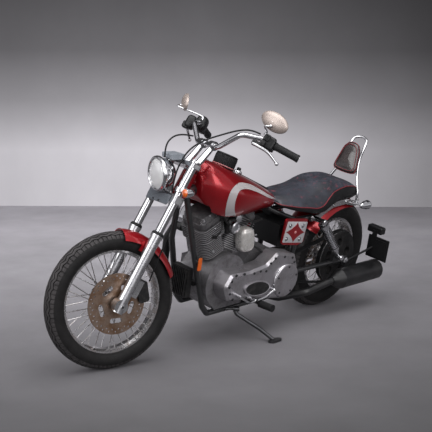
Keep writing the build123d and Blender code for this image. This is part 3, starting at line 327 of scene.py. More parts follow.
# Shapes
class Shape:
    """Points in millimetres, faces and each face's finish, gathered form by form."""

    def __init__(self):
        self.points = []
        self.faces = []
        self.finishes = []

    def add(self, points, faces, finish=0):
        start = len(self.points)
        self.points.extend(Vector(point) for point in points)
        self.faces.extend([index + start for index in face] for face in faces)
        self.finishes.extend([finish] * len(faces))

    def skin(self, rings, finish=0, around=True, capped=True, closed=False):
        """Faces between rings of equal count, which may close round and end in caps."""
        count = len(rings[0])
        points = [point for ring in rings for point in ring]
        faces = []
        spans = count if around else count - 1
        rows = len(rings) if closed else len(rings) - 1
        for row in range(rows):
            here, there = row * count, (row + 1) % len(rings) * count
            for step in range(spans):
                after = (step + 1) % count
                faces.append([here + step, here + after, there + after, there + step])
        if capped and around and not closed:
            faces.append(list(range(count))[::-1])
            faces.append([len(points) - count + step for step in range(count)])
        self.add(points, faces, finish)

    def tube(self, route, radius, finish=0, sides=14, capped=True, closed=False):
        """Round tube along a route. The radius is one number or one for each point."""
        route = [Vector(point) for point in route]
        radii = radius if isinstance(radius, (list, tuple)) else [radius] * len(route)
        rings = []
        side = None
        for at, point in enumerate(route):
            before = route[at - 1] if at or closed else point
            after = route[(at + 1) % len(route)] if at + 1 < len(route) or closed else point
            way = (after - before).normalized()
            if side is None:
                side = way.orthogonal().normalized()
            side = (side - way * side.dot(way)).normalized()
            up = way.cross(side)
            rings.append([point + (side * cos(tau * k / sides) + up * sin(tau * k / sides)) * radii[at]
                          for k in range(sides)])
        self.skin(rings, finish, capped=capped, closed=closed)

    def lathe(self, outline, origin, axis, finish=0, steps=48, closed=False, capped=True):
        """Outline of (radius, along) points turned about an axis."""
        axis = Vector(axis).normalized()
        side = axis.orthogonal().normalized()
        up = axis.cross(side)
        origin = Vector(origin)
        rings = [[origin + axis * along + (side * cos(tau * k / steps) + up * sin(tau * k / steps)) * radius
                  for k in range(steps)] for radius, along in outline]
        self.skin(rings, finish, capped=capped, closed=closed)

    def block(self, centre, size):
        """Box of the given whole sizes."""
        halves = [value / 2 for value in size]
        points = [Vector(centre) + Vector((x * halves[0], y * halves[1], z * halves[2]))
                  for x in (-1, 1) for y in (-1, 1) for z in (-1, 1)]
        self.add(points, [[0, 1, 3, 2], [4, 6, 7, 5], [0, 4, 5, 1], [2, 3, 7, 6], [0, 2, 6, 4], [1, 5, 7, 3]])


def make(shape, name, place, finishes, body, stands_for=(), bevel=0.0, sharp=sharp_angle):
    """Blender object of a shape, in place, with its materials, riding on its body."""
    mesh = bpy.data.meshes.new(name)
    mesh.from_pydata([place @ point for point in shape.points], [], shape.faces)
    for finish in finishes:
        mesh.materials.append(MATERIALS[finish])
    mesh.polygons.foreach_set("material_index", shape.finishes)
    mesh.polygons.foreach_set("use_smooth", [True] * len(mesh.polygons))
    tidy = bmesh.new()
    tidy.from_mesh(mesh)
    bmesh.ops.recalc_face_normals(tidy, faces=tidy.faces)
    tidy.to_mesh(mesh)
    tidy.free()
    mesh.set_sharp_from_angle(angle=sharp)
    piece = bpy.data.objects.new(name, mesh)
    bpy.context.scene.collection.objects.link(piece)
    if bevel:
        rounding = piece.modifiers.new("rounding", "BEVEL")
        rounding.width = bevel * MM
        rounding.segments = 2
        rounding.limit_method = "ANGLE"
        rounding.angle_limit = radians(38)
        rounding.harden_normals = True
    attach(piece, body)
    if stands_for:
        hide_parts(*stands_for)
    return piece


def make_turned(outline, origin, axis, name, place, finish, body, steps=48, closed=False):
    """Piece of one outline turned about an axis."""
    shape = Shape()
    shape.lathe(outline, origin, axis, steps=steps, closed=closed)
    make(shape, name, place, [finish], body)


def subdivide_once(piece):
    smoothing = piece.modifiers.new("smoothing", "SUBSURF")
    smoothing.levels = smoothing.render_levels = 1


def soft(value, power):
    """Sine or cosine made fuller (power below 1) or pinched (above 1), with its sign kept."""
    return abs(value) ** power * (1 if value > 0 else -1)


def curve_between(rows, steps):
    """Smooth rows through the given ones, by Catmull and Rom's rule."""
    found = []
    for at in range(len(rows) - 1):
        a, b = rows[max(at - 1, 0)], rows[at]
        c, d = rows[at + 1], rows[min(at + 2, len(rows) - 1)]
        for step in range(steps):
            t = step / steps
            found.append(tuple(0.5 * (2 * q + (r - p) * t + (2 * p - 5 * q + 4 * r - s) * t * t
                                      + (3 * q - p - 3 * r + s) * t**3)
                               for p, q, r, s in zip(a, b, c, d)))
    found.append(tuple(float(value) for value in rows[-1]))
    return found


def arc_through(a, b, c, count):
    """Points on the circle arc from a by b to c, in two dimensions."""
    (ax, ay), (bx, by), (cx, cy) = a, b, c
    d = 2 * (ax * (by - cy) + bx * (cy - ay) + cx * (ay - by))
    if abs(d) < 1e-6:
        return [(ax + (cx - ax) * k / (count - 1), ay + (cy - ay) * k / (count - 1)) for k in range(count)]
    ux = ((ax**2 + ay**2) * (by - cy) + (bx**2 + by**2) * (cy - ay) + (cx**2 + cy**2) * (ay - by)) / d
    uy = ((ax**2 + ay**2) * (cx - bx) + (bx**2 + by**2) * (ax - cx) + (cx**2 + cy**2) * (bx - ax)) / d
    radius = sqrt((ax - ux) ** 2 + (ay - uy) ** 2)
    start, middle, finish = (atan2(y - uy, x - ux) for x, y in (a, b, c))
    sweep = (finish - start) % tau
    if (middle - start) % tau > sweep:
        sweep -= tau
    angles = [start + sweep * k / (count - 1) for k in range(count)]
    return [(ux + radius * cos(angle), uy + radius * sin(angle)) for angle in angles]


# Tank
# Columns: x, top, bottom, half width
tank_rows = [(1158, 900, 812, 34), (1148, 928, 794, 66), (1104, 970, 738, 120), (1000, 942, 706, 158),
             (860, 884, 700, 152), (730, 826, 698, 122), (640, 782, 692, 92), (602, 762, 698, 68),
             (588, 750, 708, 44)]
tunnel_half = 86.0
tunnel_roof = [(715, 690), (745, 752), (1120, 766), (1200, 800)]


def height_at(line, x, before=None):
    """Height of a line of (x, z) points, with x rising, at one x."""
    if x < line[0][0]:
        return before if before is not None else line[0][1]
    for (ax, az), (bx, bz) in zip(line, line[1:]):
        if x <= bx:
            return az + (bz - az) * (x - ax) / (bx - ax)
    return line[-1][1]


def crowned_half(top, bottom, half, steps):
    """Left half of a crowned section, from its lower corner to the ridge, rounded by smoothing."""
    height = top - bottom
    knee = (0.62 * half, bottom + 0.86 * height)
    flank = arc_through((0.72 * half, bottom), (half, bottom + 0.42 * height), knee, steps)
    crown = arc_through(knee, (0, top), (-knee[0], knee[1]), 2 * steps)[:steps]
    line = flank + crown[1:] + [(0.0, top)]
    for _ in range(4):
        line = [line[0]] + [((a[0] + 2 * b[0] + c[0]) / 4, (a[1] + 2 * b[1] + c[1]) / 4)
                            for a, b, c in zip(line, line[1:], line[2:])] + [line[-1]]
    return line


def tank_ring(x, top, bottom, half):
    """Whole section of the tank, open below for the frame."""
    line = crowned_half(top, bottom, half, 16)
    low = line[0][0]
    if low > tunnel_half + 3:
        floor = [low - 1, tunnel_half + 1, tunnel_half - 1, 60, 30, 0]
    else:
        floor = [low * share for share in (0.97, 0.9, 0.8, 0.6, 0.3, 0)]
    left = [(y, bottom) for y in reversed(floor)] + line
    ring = left + [(-y, z) for y, z in reversed(left[1:-1])]
    roof = height_at(tunnel_roof, x, -1000)
    return [Vector((x, y, max(z, min(roof, top - 6)) if abs(y) < tunnel_half else z)) for y, z in ring]


smooth_tank = curve_between(tank_rows, 14)
tank = Shape()
tank.skin([tank_ring(*row) for row in smooth_tank])
make(tank, "tank_shell", BIKE, ["red"], "chassis", ["fuel_tank"])


def side_of_row(row, z):
    """How far out one section of the tank is at a height."""
    line = crowned_half(*row[1:], 16)
    for (ay, az), (by, bz) in zip(line, line[1:]):
        if az <= z <= bz and bz > az:
            return ay + (by - ay) * (z - az) / (bz - az)
    return line[0][0] if z < line[0][1] else 0.0


def tank_side(x, z):
    """How far out the tank's flank is at one place of its side view."""
    at = max(1, min(len(smooth_tank) - 1, sum(1 for row in smooth_tank if row[0] > x)))
    before, after = smooth_tank[at - 1], smooth_tank[at]
    share = min(1.0, max(0.0, (before[0] - x) / (before[0] - after[0])))
    return side_of_row(before, z) * (1 - share) + side_of_row(after, z) * share


# The stripe runs up the tank's flank, over it and back to a point.
stripe_outer = [(1026, 713), (1050, 752), (1060, 800), (1051, 843), (1023, 870), (974, 880), (920, 871),
                (851, 849), (790, 822), (718, 786), (626, 744)]
stripe_inner = [(958, 707), (996, 744), (1013, 778), (1014, 811), (999, 841), (968, 852), (918, 846),
                (860, 828), (795, 802), (710, 766), (624, 738)]


def add_stripe(side):
    shape = Shape()
    outer, inner = curve_between(stripe_outer, 12), curve_between(stripe_inner, 12)
    across = 8
    rings = []
    for (ax, az), (bx, bz) in zip(outer, inner):
        ring = []
        for step in range(across + 1):
            x = ax + (bx - ax) * step / across
            z = az + (bz - az) * step / across
            ring.append(Vector((x, side * (tank_side(x, z) + 1.2), z + 0.6)))
        rings.append(ring)
    shape.skin(rings, around=False, capped=False)
    make(shape, f"tank_stripe_{'left' if side > 0 else 'right'}", BIKE, ["stripe"], "chassis")


for side in (1, -1):
    add_stripe(side)

# Gauge, console and switch on the tank's ridge
dash = Shape()
strip = []
for x, z in curve_between([(600, 768), (700, 812), (800, 856), (880, 890), (912, 904)], 6):
    half = 27 if x > 640 else 14 + (x - 600) / 3
    strip.append([Vector((x, y, z - 8 + rise)) for y, rise in (
        (-half, 0), (-half + 3, 9), (-half * 0.5, 12), (0, 13), (half * 0.5, 12), (half - 3, 9), (half, 0))])
dash.skin(strip, around=True)
make(dash, "dash_strip", BIKE, ["plastic"], "chassis", ["console"])
gauge_way = Vector((-0.38, 0, 0.92)).normalized()
gauge_foot = Vector((966, 0, 930))
drum = Shape()
knurls = 36
rings = []
for radius, along in ((40, -44), (46, -26), (50, -14), (55, 2), (55.5, 44), (54, 50)):
    ring = []
    side = Vector((0, 1, 0))
    up = gauge_way.cross(side)
    for k in range(knurls * 4):
        depth = 1.6 if k % 4 in (1, 2) and along > 0 else 0.0
        a = tau * k / (knurls * 4)
        ring.append(gauge_foot + gauge_way * along + (side * cos(a) + up * sin(a)) * (radius + depth))
    rings.append(ring)
drum.skin(rings)
make(drum, "gauge_drum", BIKE, ["rubber"], "chassis", ["gauge"], sharp=radians(60))
make_turned([(52, -3), (58, -2), (58.6, 0), (58, 2), (52, 3)], gauge_foot, gauge_way,
            "gauge_trim", BIKE, "pink", "chassis")
make_turned([(52, 50), (55, 51), (56, 54), (55, 58), (50, 60), (48, 56)], gauge_foot, gauge_way,
            "gauge_bezel", BIKE, "plastic", "chassis")
make_turned([(0.1, 56.5), (49, 56.5), (49, 55)], gauge_foot, gauge_way,
            "gauge_face", BIKE, "plastic", "chassis")
needle = Shape()
gauge_side = Vector((0, 1, 0))
gauge_back = gauge_way.cross(gauge_side)
for k in range(11):
    a = radians(-130 + 26 * k)
    way = gauge_back * -cos(a) + gauge_side * sin(a)
    needle.tube([gauge_foot + gauge_way * 57 + way * 36, gauge_foot + gauge_way * 57 + way * 44], 0.9,
                sides=6)
needle.tube([gauge_foot + gauge_way * 58, gauge_foot + gauge_way * 58 + gauge_side * 26 + gauge_back * 18],
            1.0, sides=6)
make(needle, "gauge_marks", BIKE, ["silver"], "chassis")
switch_place, switch_way = (848, 0, 884), (-0.35, 0, 0.94)
make_turned([(21, -6), (22, 0), (19, 7), (15, 9), (0.1, 9)], switch_place, switch_way,
            "ignition_switch", BIKE, "chrome", "chassis")
make_turned([(9, 8), (11, 12), (11, 20), (8, 24), (0.1, 25)], switch_place, switch_way,
            "ignition_knob", BIKE, "plastic", "chassis", steps=24)
make_turned([(30, -10), (32, 0), (30, 6), (22, 10), (0.1, 12)], (1040, -70, 938), (-0.1, -0.35, 0.93),
            "filler_cap", BIKE, "chrome", "chassis")

# Seat, swollen by cloth simulation
# Columns: x, top, bottom, half width, height of the piping
seat_rows = [(586, 724, 702, 60, 708), (570, 732, 692, 98, 704), (480, 740, 666, 138, 692),
             (400, 744, 650, 150, 682), (340, 750, 636, 157, 674), (286, 762, 632, 156, 682),
             (236, 773, 630, 151, 712), (180, 780, 636, 142, 738), (90, 777, 652, 130, 748),
             (20, 762, 660, 120, 744), (-50, 740, 662, 106, 728), (-104, 716, 668, 88, 702),
             (-136, 698, 674, 66, 688), (-146, 690, 680, 44, 684)]
fender_radius, fender_half, fender_side = 354.0, 106.0, 58.0
fender_arc = (fender_half**2 + fender_side**2) / (2 * fender_side)
strut_route = [(-200, 640), (-60, 650), (40, 674), (150, 668), (220, 640), (262, 614), (330, 612)]


def seat_floor(x, y):
    """Lowest place that the seat may reach, over the fender and its struts."""
    if abs(y) >= fender_half - 2:
        return height_at(strut_route, x) + 4 if x < 330 else 0.0
    reach = fender_radius - fender_arc + sqrt(fender_arc**2 - y**2)
    return rear_axle_height + sqrt(max(reach**2 - x**2, 0)) + 1.5 if abs(x) < reach else 0.0


side_steps, top_steps = 7, 16


def seat_ring(x, top, bottom, half, seam):
    """Section of the seat: flat base, side band up to the piping and crowned top."""
    low = 0.86 * half
    base = [(low * share, bottom) for share in (0, 0.25, 0.5, 0.75, 0.94)]
    seam_out = half * (1.0 - 0.18 * max(0.0, (seam - bottom) / (top - bottom) - 0.3))
    band = arc_through((low, bottom + 1), (half, bottom + 0.5 * (seam - bottom)), (seam_out, seam),
                       side_steps)
    crown = arc_through((seam_out, seam), (0.72 * half, seam + 0.74 * (top - seam)), (0, top), top_steps)
    left = base + band + crown[1:]
    ring = left + [(-y, z) for y, z in reversed(left[1:-1])]
    return [Vector((x, y, max(z, min(seat_floor(x, y), top - 8)))) for y, z in ring]


def soften(piece, fixed, cap, pressure=4.0):
    """Swell a closed mesh by cloth simulation.

    Fixed holds the points that stay and how firmly. Cap is the most that a point moves, in mm.
    """
    before = [point.co.copy() for point in piece.data.vertices]
    group = piece.vertex_groups.new(name="held")
    for index, weight in fixed.items():
        group.add([index], weight, "REPLACE")
    cloth = piece.modifiers.new("cloth", "CLOTH")
    cloth.settings.use_pressure = True
    cloth.settings.uniform_pressure_force = pressure
    cloth.settings.vertex_group_mass = "held"
    cloth.settings.effector_weights.gravity = 0
    cloth.settings.tension_stiffness = 12
    cloth.settings.bending_stiffness = 1.5
    cloth.collision_settings.use_collision = False
    last_frame = 20
    cloth.point_cache.frame_end = last_frame
    for step in range(1, last_frame + 1):
        bpy.context.scene.frame_set(step)
    graph = bpy.context.evaluated_depsgraph_get()
    after = [point.co.copy() for point in piece.evaluated_get(graph).data.vertices]
    piece.modifiers.remove(cloth)
    piece.vertex_groups.remove(group)
    for point, start, finish in zip(piece.data.vertices, before, after):
        move = finish - start
        limit = cap * MM
        point.co = start + (move * (limit / move.length) if move.length > limit else move)
    bpy.context.scene.frame_set(1)


seat = Shape()
seat_sections = curve_between(seat_rows, 9)
seat_loops = [seat_ring(*row) for row in seat_sections]
seat.skin(seat_loops)
count = len(seat_loops[0])
base_steps = 5
seam_at = base_steps + side_steps - 1
top_faces = [seam_at <= at % count < count - seam_at for at in range(len(seat.faces) - 2)]
seat.finishes = [0 if top else 1 for top in top_faces] + [1, 1]
seat_piece = make(seat, "seat_cushion", BIKE, ["seat", "rubber"], "chassis", ["seat"],
                  sharp=radians(70))
held = {}
for index in range(len(seat.points)):
    step = index % count
    if step < base_steps + 1 or step > count - base_steps - 1:
        held[index] = 1.0
    elif step in (seam_at, count - seam_at):
        held[index] = 0.6
soften(seat_piece, held, 9.0)
subdivide_once(seat_piece)
rows = len(seat_loops)
to_bike = BIKE.inverted()
for side, at in (("left", seam_at), ("right", count - seam_at)):
    line = [to_bike @ seat_piece.data.vertices[row * count + at].co for row in range(1, rows - 1)]
    way = 1 if side == "left" else -1
    piping = Shape()
    piping.tube([point + Vector((0, way * 1.0, 0)) for point in line], 2.6, sides=10)
    make(piping, f"seat_piping_{side}", BIKE, ["piping"], "chassis")

# Backrest pad: a shield with a welt round it
PAD = BIKE @ Matrix.Translation((-98, 0, 860)) @ Matrix(
    ((0, -0.32, 0.95, 0), (1, 0, 0, 0), (0, 0.95, 0.32, 0), (0, 0, 0, 1)))
pad_corners = [(-30, 81), (0, 87), (30, 81), (50, 56), (64, 0), (74, -54), (69, -74), (50, -82), (0, -85),
               (-50, -82), (-69, -74), (-74, -54), (-64, 0), (-50, 56)]


def closed_curve(points, steps):
    """Smooth closed line through a few points."""
    wrapped = [points[-1]] + list(points) + [points[0], points[1]]
    return curve_between(wrapped, steps)[steps:-2 * steps]


pad_outline = closed_curve(pad_corners, 6)


def pad_ring(share, level):
    return [Vector((a * share, b * share, level)) for a, b in pad_outline]


pad = Shape()
pad.skin([pad_ring(share, level) for share, level in ((0.1, 2), (0.5, 1), (0.9, 1), (0.98, 4), (1.0, 12),
                                                      (0.99, 22), (0.95, 27), (0.86, 31), (0.78, 30),
                                                      (0.7, 33), (0.5, 36), (0.25, 38), (0.05, 38))])
pad_count = len(pad_outline)
pad_piece = make(pad, "backrest_cushion", PAD, ["pad"], "chassis", ["backrest_pad"],
                 sharp=radians(70))
soften(pad_piece, {index: 1.0 for index in range(len(pad.points)) if index // pad_count in (0, 1, 2, 3, 8)},
       5.0)
subdivide_once(pad_piece)
welt = Shape()
welt.tube([Vector((a * 0.84, b * 0.84, 31.5)) for a, b in pad_outline], 1.5, sides=8, closed=True)
welt.tube([Vector((a * 1.0, b * 1.0, 22)) for a, b in pad_outline], 1.5, sides=8, closed=True)
make(welt, "backrest_welt", PAD, ["piping"], "chassis")


# Tyres
def add_tyre(name, stands_for, place, ring, crown, lip, body, periods, zig):
    """Tyre with zig-zag grooves and side slots. Angles run from the crown's top to the rim's lip."""
    shape = Shape()
    top_angle = pi - asin((lip - ring) / crown)
    lip_angle = pi / 2 - asin((lip - ring) / crown)
    grooves = [0.0, 0.34, 0.68]
    shoulder, tread_end = 1.14, 0.96
    width, depth = 0.045, 5.0
    # Each line: its angle, how deep it lies, and whether the side slots cut it
    lines = []
    for way in (-1, 1):
        for angle in grooves:
            if way < 0 and angle == 0:
                continue
            for offset, low in ((-width, 0), (-width * 0.7, depth), (width * 0.7, depth), (width, 0)):
                lines.append((way * angle + offset, low, 0))
        for angle in (0.17, 0.51):
            lines.append((way * angle, 0, 0))
        for angle in (0.80, 0.94, 1.10):
            lines.append((way * angle, 0, 1))
        for share in (0.0, 0.12, 0.3, 0.5, 0.7, 0.86, 0.95, 1.0):
            lines.append((way * (shoulder + (lip_angle - shoulder) * share), 0, 0))
    lines.sort()
    # Columns: share of one zig-zag, and whether a side slot is there
    fractions = [(0.0, 0), (0.03, 1), (0.13, 1), (0.16, 0), (0.5, 0), (0.53, 1), (0.63, 1), (0.66, 0)]
    rings = []
    for period in range(periods):
        for fraction, slot in fractions:
            turn = tau * (period + fraction) / periods
            wave = zig * (1 - 4 * abs(fraction - 0.5)) if fraction else -zig
            section = []
            for angle, low, slotted in lines:
                fade = max(0.0, 1 - abs(angle) / 0.95)
                here = angle + wave * min(1.0, fade * 2) / crown
                cut = max(low, depth * 0.9 if slot and slotted else 0)
                radius = ring + (crown - cut) * cos(here)
                section.append(Vector((radius * sin(turn), (crown - cut) * sin(here), radius * cos(turn))))
            inner = lip - 8
            section.append(Vector((inner * sin(turn), section[-1].y * 0.8, inner * cos(turn))))
            section.append(Vector((inner * sin(turn), section[0].y * 0.8, inner * cos(turn))))
            rings.append(section)
    shape.skin(rings, closed=True)
    steps = len(rings[0])
    # The tread's top faces take the lighter rubber as a painted highlight; the grooves and sides stay darker.
    for at in range(len(shape.faces)):
        step = at % steps
        if step + 1 < len(lines):
            (angle, low, _), (next_angle, next_low, _) = lines[step], lines[step + 1]
            if low == next_low == 0 and abs(angle) < tread_end:
                shape.finishes[at] = 1
    make(shape, name, place, ["tyre", "tread"], body, [stands_for], sharp=radians(24))


add_tyre("front_tread", "front_tyre", FORK, 283.0, 48.0, 255.3, "front_wheel", 44, 6.0)
add_tyre("rear_tread", "rear_tyre", REAR, 258.0, 62.0, 217.0, "rear_wheel", 40, 7.0)


# Rounded forms and screws
def rounded_block(shape, centre, size, turn=None, finish=0, power=0.4, steps=28):
    """Box with soft corners: a superellipsoid of the given whole sizes."""
    turn = turn or Matrix.Identity(3)
    rings = []
    for row in range(1, steps // 2):
        rise = -pi / 2 + pi * row / (steps // 2)
        level = soft(sin(rise), power)
        width = abs(cos(rise)) ** power
        ring = []
        for step in range(steps):
            a = tau * (step + 0.5) / steps
            x = width * soft(cos(a), power)
            y = width * soft(sin(a), power)
            place = Vector((x * size[0] / 2, y * size[1] / 2, level * size[2] / 2))
            ring.append(Vector(centre) + turn @ place)
        rings.append(ring)
    shape.skin(rings, finish)


def turned_to(way, up=(0, 0, 1)):
    """Turn whose first way runs along a direction."""
    first = Vector(way).normalized()
    third = (Vector(up) - first * first.dot(Vector(up))).normalized()
    return Matrix((first, third.cross(first), third)).transposed()


def add_screw(shape, place, way, radius=5.0, height=4.0, finish=0):
    """Socket-head screw."""
    shape.lathe([(radius, -2), (radius, height * 0.7), (radius * 0.82, height), (radius * 0.5, height),
                 (radius * 0.45, height * 0.3), (0.1, height * 0.3)], place, way, finish, steps=14)


def add_ball(shape, centre, radius, finish=0):
    shape.lathe([(radius * cos(a), radius * sin(a)) for a in (-1.45, -1.0, -0.5, 0, 0.5, 1.0, 1.45)],
                centre, (0, 0, 1), finish, steps=16)


# Cables and hose, as smooth curves on their routes' own points
# Columns: name, radius, length, solid that it stands for, points in the fork's frame
cord_rows = [
    ("throttle_cable", 4.0, 0.2486, "cables",
     [(103, 10, 709.4), (132, 12, 756), (118, 6, 812), (64, -8, 852), (0, -24, 872)]),
    ("clutch_cable", 4.0, 0.5789, "cables",
     [(16, 68, 580), (46, 74, 650), (58, 80, 720), (54, 90, 792), (18, 112, 862), (-30, 150, 922),
      (-66, 200, 972), (-104, 246, 1002), (-134, 280, 1000)]),
    ("front_brake_hose", 3.5, 0.3795, "brake_hose",
     [(-34, 88, 533.7), (-40, 104, 470), (-48, 112, 400), (-58, 110, 320), (-72, 100, 240),
      (-92, 84, 164)]),
]
for name, radius, length, stands_for, route in cord_rows:
    data = bpy.data.curves.new(name, "CURVE")
    data.dimensions = "3D"
    spline = data.splines.new("NURBS")
    spline.points.add(len(route) - 1)
    for point, place in zip(spline.points, route):
        point.co = (*(FORK @ Vector(place)), 1.0)
    spline.order_u = 3
    spline.use_endpoint_u = True
    spline.resolution_u = 16
    data.bevel_depth = radius * MM
    data.bevel_resolution = 4
    data.use_fill_caps = True
    data.materials.append(MATERIALS["rubber"])
    cord = bpy.data.objects.new(name, data)
    bpy.context.scene.collection.objects.link(cord)
    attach(cord, "front_end")
    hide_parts(stands_for)

# Headlight
rake = radians(29.5)
lamp_way = Vector((cos(rake), 0, -sin(rake)))
lamp_centre = Vector((92, 0, 627))
bucket = Shape()
bucket.lathe([(0.1, -86), (20, -85), (40, -79), (56, -67), (67, -50), (73, -32), (76, -14), (76.5, -8),
              (70, -8)], lamp_centre, lamp_way)
rounded_block(bucket, (6, 0, 600), (36, 30, 50))
bucket.tube([(18, 0, 604), (34, 0, 610), (48, 0, 622)], 13)
make(bucket, "headlight_bucket", FORK, ["chrome"], "front_end", ["headlight_shell"])
rim_outline = [(74, -16), (80, -15), (84, -9), (85, -2), (83.5, 5), (79, 9), (74, 9.5), (71, 6), (71, -2)]
make_turned(rim_outline, lamp_centre, lamp_way, "headlight_rim", FORK, "chrome", "front_end",
            steps=64)
bowl = Shape()
bowl.lathe([(71, -1), (67, -12), (57, -26), (42, -40), (26, -50), (10, -56), (0.1, -57)], lamp_centre,
           lamp_way, capped=False, steps=64)
bowl.lathe([(10, -56), (10, -34), (7, -28), (0.1, -26)], lamp_centre, lamp_way, steps=20)
make(bowl, "headlight_reflector", FORK, ["reflector"], "front_end")
lens = Shape()
lens.lathe([(0.1, 18.5), (16, 18), (34, 16), (52, 12), (66, 7), (71, 2), (71, -1), (64, 3.5), (50, 9),
            (34, 13), (16, 15), (0.1, 15.5)], lamp_centre, lamp_way, capped=False, steps=64)
make(lens, "headlight_glass", FORK, ["glass"], "front_end", ["headlight_lens"])

# Red cover round the steering head
make_turned([(30, 582), (35, 583), (36, 590), (36, 640), (36, 706), (35, 713), (30, 714)],
            (stem_ahead, 0, 0), (0, 0, 1), "neck_cover", FORK, "red", "chassis")

# Front signals on the fork tubes
signals = Shape()
for side in (1, -1):
    signals.lathe([(20.8, 588), (27, 590), (28.5, 596), (28.5, 606), (27, 612), (20.8, 614)],
                  (0, side * leg_half, 0), (0, 0, 1), capped=False)
    signals.tube([(0, side * 126, 602), (-8, side * 134, 604), (-14, side * 140, 606)], 6.5)
    pod = (-16, side * 152, 607)
    signals.lathe([(0.1, -30), (9, -28), (16, -21), (20, -9), (21.5, 4), (22, 12), (23, 13), (23, 18),
                   (20, 19)], pod, lamp_way, steps=32)
    signals.lathe([(20.5, 17), (19.5, 23), (14, 28), (7, 30), (0.1, 30.5)], pod, lamp_way, 1, steps=32)
make(signals, "front_signal_lamps", FORK, ["chrome", "amber"], "front_end", ["front_signals"])
bar_screws = Shape()
for y in (-26, 26):
    add_screw(bar_screws, (34, y, 520), (1, 0, 0), 4.5, 4)
make(bar_screws, "fork_bar_screws", FORK, ["bolt"], "front_end")


# Controls on the bars
def grip_point(side, along):
    """Point on the bar's straight end, at a distance from its end."""
    return Vector((-306 + 0.772 * along, side * (400 - 0.634 * along), 977 + 0.035 * along))


def bar_span(side):
    """Vector along the bar's straight end, inwards."""
    return grip_point(side, 200) - grip_point(side, 0)


controls = Shape()
for side in (1, -1):
    turn = turned_to(bar_span(side))
    rounded_block(controls, grip_point(side, 150) + Vector((4, 0, -2)), (52, 50, 66), turn)
    rounded_block(controls, grip_point(side, 168) + Vector((14, side * 8, 14)), (30, 34, 36), turn)
    rounded_block(controls, grip_point(side, 138) + Vector((-12, -side * 10, -24)), (22, 16, 14), turn)
turn = turned_to(bar_span(-1))
rounded_block(controls, (-112, -288, 966), (60, 50, 72), turn, power=0.6)
rounded_block(controls, (-100, -296, 944), (34, 40, 36), turn)
rounded_block(controls, grip_point(-1, 150) + Vector((10, 0, 8)), (78, 62, 84), turn, power=0.7)
make(controls, "bar_switches", FORK, ["plastic"], "front_end", ["switch_housings"])
blades = Shape()
perches = Shape()
for side in (1, -1):
    root = grip_point(side, 182)
    ahead = Vector((0.634, side * 0.772, 0)).normalized()
    start = grip_point(side, 222) + ahead * 48 + Vector((0, 0, -44))
    middle = grip_point(side, 140) + ahead * 60 + Vector((0, 0, -50))
    tip = grip_point(side, 78) + ahead * 50 + Vector((0, 0, -76))
    line = curve_between([start, middle, tip], 9)
    blades.tube(line, [9.0 - 4.0 * at / (len(line) - 1) for at in range(len(line))], sides=12)
    add_ball(blades, tip, 9)
    turn = turned_to(bar_span(side))
    rounded_block(perches, root + ahead * 24 + Vector((0, 0, -20)), (26, 40, 30), turn)
    rounded_block(perches, grip_point(side, 206) + ahead * 42 + Vector((0, 0, -36)), (44, 30, 24), turn)
    way = bar_span(side).normalized()
    perches.lathe([(14, -10), (20, -10), (22, -7), (22, 7), (20, 10), (14, 10)], root, way, capped=False,
                  steps=24)
    add_screw(perches, start + Vector((0, 0, 12)), (0, 0, 1), 5, 4)
make(blades, "lever_blades", FORK, ["alloy"], "front_end", ["levers"])
make(perches, "lever_perches", FORK, ["black_metal"], "front_end")
ribs = Shape()
for side in (1, -1):
    way = bar_span(side).normalized()
    ridges = [(17.2 + 0.9 * (k % 2), 16 + 4 * k) for k in range(25)]
    outline = [(13, 1), (17, 1), (19, 4), (19, 10), (18, 13), *ridges, (19, 118), (20.5, 122), (20.5, 126),
               (13, 127)]
    ribs.lathe(outline, grip_point(side, 0), way, capped=False, steps=28)
make(ribs, "ribbed_grips", FORK, ["rubber"], "front_end", ["grips"], sharp=radians(50))

# Mirrors: domed shell, glass and a bent stem
mirror_shells = Shape()
mirror_stems = Shape()
for side in (1, -1):
    face_way = Vector((-0.86, -side * 0.42, 0.28)).normalized()
    head = Vector((-92, side * 396, 1058))
    outward = Vector((-0.34, side * 0.9, -0.2 if side > 0 else 0.3))
    across = (outward - face_way * face_way.dot(outward)).normalized()
    tall = face_way.cross(across)
    rings = []
    for share, level in ((0.02, -20), (0.3, -19), (0.55, -16), (0.75, -12), (0.9, -6), (0.98, 0), (1.0, 4),
                         (0.985, 7), (0.95, 7), (0.945, 4.5), (0.02, 4.5)):
        rings.append([head + face_way * level + across * (76 * share * cos(tau * k / 40))
                      + tall * (44 * share * sin(tau * k / 40)) for k in range(40)])
    mirror_shells.skin(rings)
    for index in range(len(mirror_shells.faces) - 42, len(mirror_shells.faces)):
        mirror_shells.finishes[index] = 1
    base = grip_point(side, 186) + Vector((4, 0, 22))
    joint = head - face_way * 14 + Vector((0, 0, -22))
    line = curve_between([base, base + Vector((8, side * 10, 18)), joint + Vector((16, -side * 16, -14)),
                          joint], 8)
    mirror_stems.tube(line, 4.6, sides=12)
    mirror_stems.lathe([(6, 0), (9, 1), (9, 11), (6, 13)], base, (0, 0, 1), steps=20)
    add_ball(mirror_stems, joint, 8)
make(mirror_shells, "mirror_shells", FORK, ["mirror", "chrome"], "front_end", ["mirrors"],
     sharp=radians(40))
make(mirror_stems, "mirror_stems", FORK, ["chrome"], "front_end")

# Caps and dust seals of the fork
caps = Shape()
for side in (1, -1):
    caps.lathe([(20, 744), (24, 745), (25, 749), (23, 756), (15, 760), (0.1, 761)], (0, side * leg_half, 0),
               (0, 0, 1))
caps.lathe([(20, 744), (22, 746), (20, 756), (12, 760), (0.1, 760)], (stem_ahead, 0, 0), (0, 0, 1), steps=6)
make(caps, "fork_caps", FORK, ["chrome"], "front_end")
seals = Shape()
for side in (1, -1):
    seals.lathe([(21, 366), (29, 367), (30, 372), (28, 380), (23, 384), (21, 385)], (0, side * leg_half, 0),
                (0, 0, 1), capped=False)
make(seals, "fork_seals", FORK, ["rubber"], "front_end")

